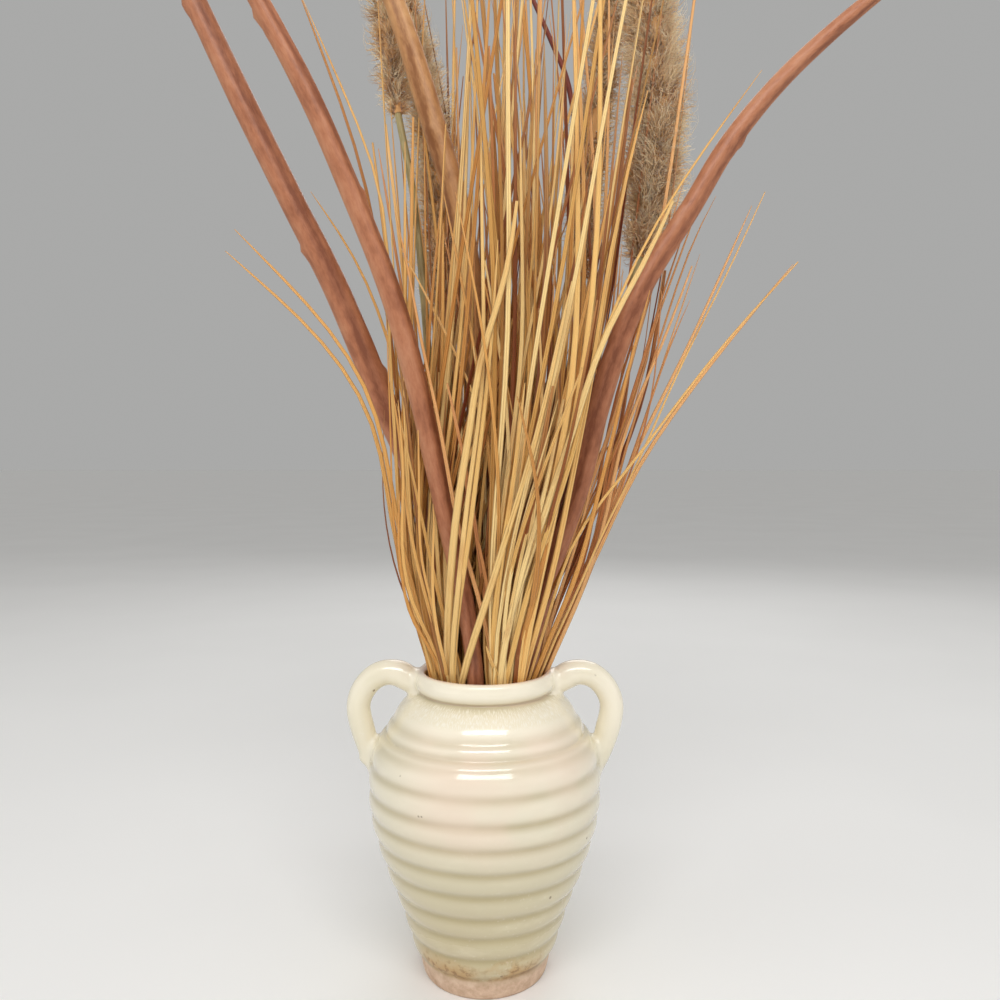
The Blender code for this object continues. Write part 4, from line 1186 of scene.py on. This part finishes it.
def makeTuft(number, x, y, slot, seed):
    rng = np.random.default_rng(seed)
    rings = grass["rings"]
    foot = [(x, y, foamTop - 0.002)]
    stray = strays.get(number, [])
    seen = seenBlades.get(number, [])
    # each blade's route, its width and how much it turns: the followed ones face the camera
    blades = [(smoothRoute(foot + points, rings), grass["strayWidth"], 0.25) for points in stray]
    blades += [(smoothRoute(foot + seenRoute(spec[0], spec[2]), rings), spec[1], 0.25) for spec in seen]
    for i in range(grass["blades"]):
        angle = goldenAngle * i + rng.uniform(-0.4, 0.4)
        off = math.sqrt((i + rng.random()) / grass["blades"])
        aside = np.array([math.cos(angle), math.sin(angle)]) * off
        spread = grass["spread"]
        mouth = 1.05 * np.array([x, y]) + spread[1] * aside
        mouth *= min(1.0, (grass["mouth"] - 0.0015) / np.hypot(*mouth))
        low, high = grass["tips"]
        width = rng.triangular(grass["widths"][0], 0.0032, grass["widths"][1])
        for _ in range(grass["tries"]):
            tip = low + (high - low) * rng.random() ** grass["tipsLean"]
            points = bladeRoute(rng, (x + spread[0] * aside[0], y + spread[0] * aside[1]), mouth, tip)
            if not hidesBranch(smoothRoute(points, 90), width / 2):
                blades.append((smoothRoute(points, rings), width, 1.0))
                break
    routes, widths, facing = (np.array(column) for column in zip(*blades))
    count = len(blades)
    part = np.linspace(0.0, 1.0, rings)
    blunt = rng.random(count)[:, None] < 0.20
    taper = np.where(blunt, *(np.interp(part, grass["stations"], grass[key]) for key in ("blunt", "pointed")))
    half = widths[:, None] / 2 * taper
    for _ in range(2):
        routes = clearOfBranches(routes, half * 0.6)
        routes[:, 1:-1] = routes[:, 1:-1] * 0.5 + (routes[:, :-2] + routes[:, 2:]) * 0.25
    bearing = np.arctan2(routes[:, -1, 0], -routes[:, -1, 1])
    turn = (bearing * 0.45 + rng.normal(0, 0.55, count)) * facing
    twist = (rng.normal(0, 0.6, count) * facing)[:, None] * part
    mesh, grain, owner = laidAlong(prism(grass["outline"], rings), routes, turn[:, None] + twist, half,
                                   half * grass["thickness"] * 2 * np.interp(part, [0, 0.5, 1], [1, 1, 1.8]))
    tone = rng.beta(1.0, 0.9, count)
    for i, spec in enumerate(seen, len(stray)):
        tone[i] = spec[3] if len(spec) > 3 else tone[i] * 0.4 + 0.45

    # the bound butt that stands in the foam
    butt = np.linspace((x, y, buttFoot), (x, y, grass["buttTop"]), 12)
    thick = np.full(12, grass["buttRadius"])
    thick[-1] *= 0.80
    bound, boundGrain = laidOnce(tube(16, 12), butt, thick)
    whole = joined("tuft", [mesh, bound])
    inBox(whole)
    setAttribute(whole, "grain", np.vstack([grain, boundGrain]))
    setAttribute(whole, "tone", np.concatenate([tone[owner], np.full(len(boundGrain), 0.3)]))
    return finished("grass_tuft_" + number + "_blades", whole, slot, "grass_tuft_" + number)


for seed, (number, (x, y, slot)) in enumerate(tufts.items()):
    makeTuft(number, x, y, slot, 300 + seed)
print("tufts made:", len(tufts))


# stage

stage = {
    "floor": 60.0,
    "key": {"place": (0.02, -1.05, 1.32), "aim": (0.0, 0.0, 0.26), "size": (1.30, 0.30), "power": 12},
    "left": {"place": (-1.7, -0.9, 1.0), "aim": (0.0, 0.0, 0.35), "size": (1.6, 2.0), "power": 6},
    "right": {"place": (1.7, -0.8, 1.1), "aim": (0.0, 0.0, 0.35), "size": (1.6, 2.0), "power": 5},
    "back": {"place": (0.3, 1.6, 1.5), "aim": (0.0, 0.0, 0.40), "size": (1.4, 1.0), "power": 8},
    "world": 0.50,
    "overhead": 0.12,
}


def makeLight(name):
    spec = stage[name]
    lamp = bpy.data.lights.new(name + "_light", "AREA")
    lamp.shape = "RECTANGLE"
    lamp.size, lamp.size_y = spec["size"]
    lamp.energy = spec["power"]
    light = hung(name + "_light", lamp)
    light.location = spec["place"]
    aim = Vector(spec["aim"]) - Vector(spec["place"])
    light.rotation_euler = aim.to_track_quat("-Z", "Y").to_euler()


def makeStage():
    bm = bmesh.new()
    bmesh.ops.create_grid(bm, x_segments=1, y_segments=1, size=stage["floor"])
    floor = hung("floor", meshFrom(bm, "floor"))
    paper = Finish("paper_floor", {"Roughness": 0.8})
    paper.feed("Base Color", paper.ramp(paper.noise(paper.place(), 3.0, 2.0, 0.5), {
        0.3: (243, 242, 240), 0.7: (246, 245, 243)}))
    floor.data.materials.append(paper.material)
    for name in ("key", "left", "right", "back"):
        makeLight(name)
    overhead = bpy.data.lights.new("overhead_light", "SUN")
    overhead.energy = stage["overhead"]
    overhead.angle = math.radians(60)
    hung("overhead_light", overhead)
    world = bpy.data.worlds.new("studio")
    world.use_nodes = True
    background = world.node_tree.nodes["Background"].inputs
    background["Color"].default_value = (0.80, 0.80, 0.79, 1.0)
    background["Strength"].default_value = stage["world"]
    bpy.context.scene.world = world


def makeCamera():
    data = bpy.data.cameras.new("camera")
    data.lens = camera["lens"]
    data.sensor_width = camera["sensor"]
    data.clip_start = 0.01
    eye = hung("camera", data)
    eye.location = camera["place"]
    eye.rotation_euler = (math.radians(90 + camera["pitch"]), 0.0, 0.0)
    bpy.context.scene.camera = eye
    bpy.context.scene.view_settings.view_transform = "Standard"


makeStage()
makeCamera()
print("stage and camera set")

bpy.context.view_layer.update()
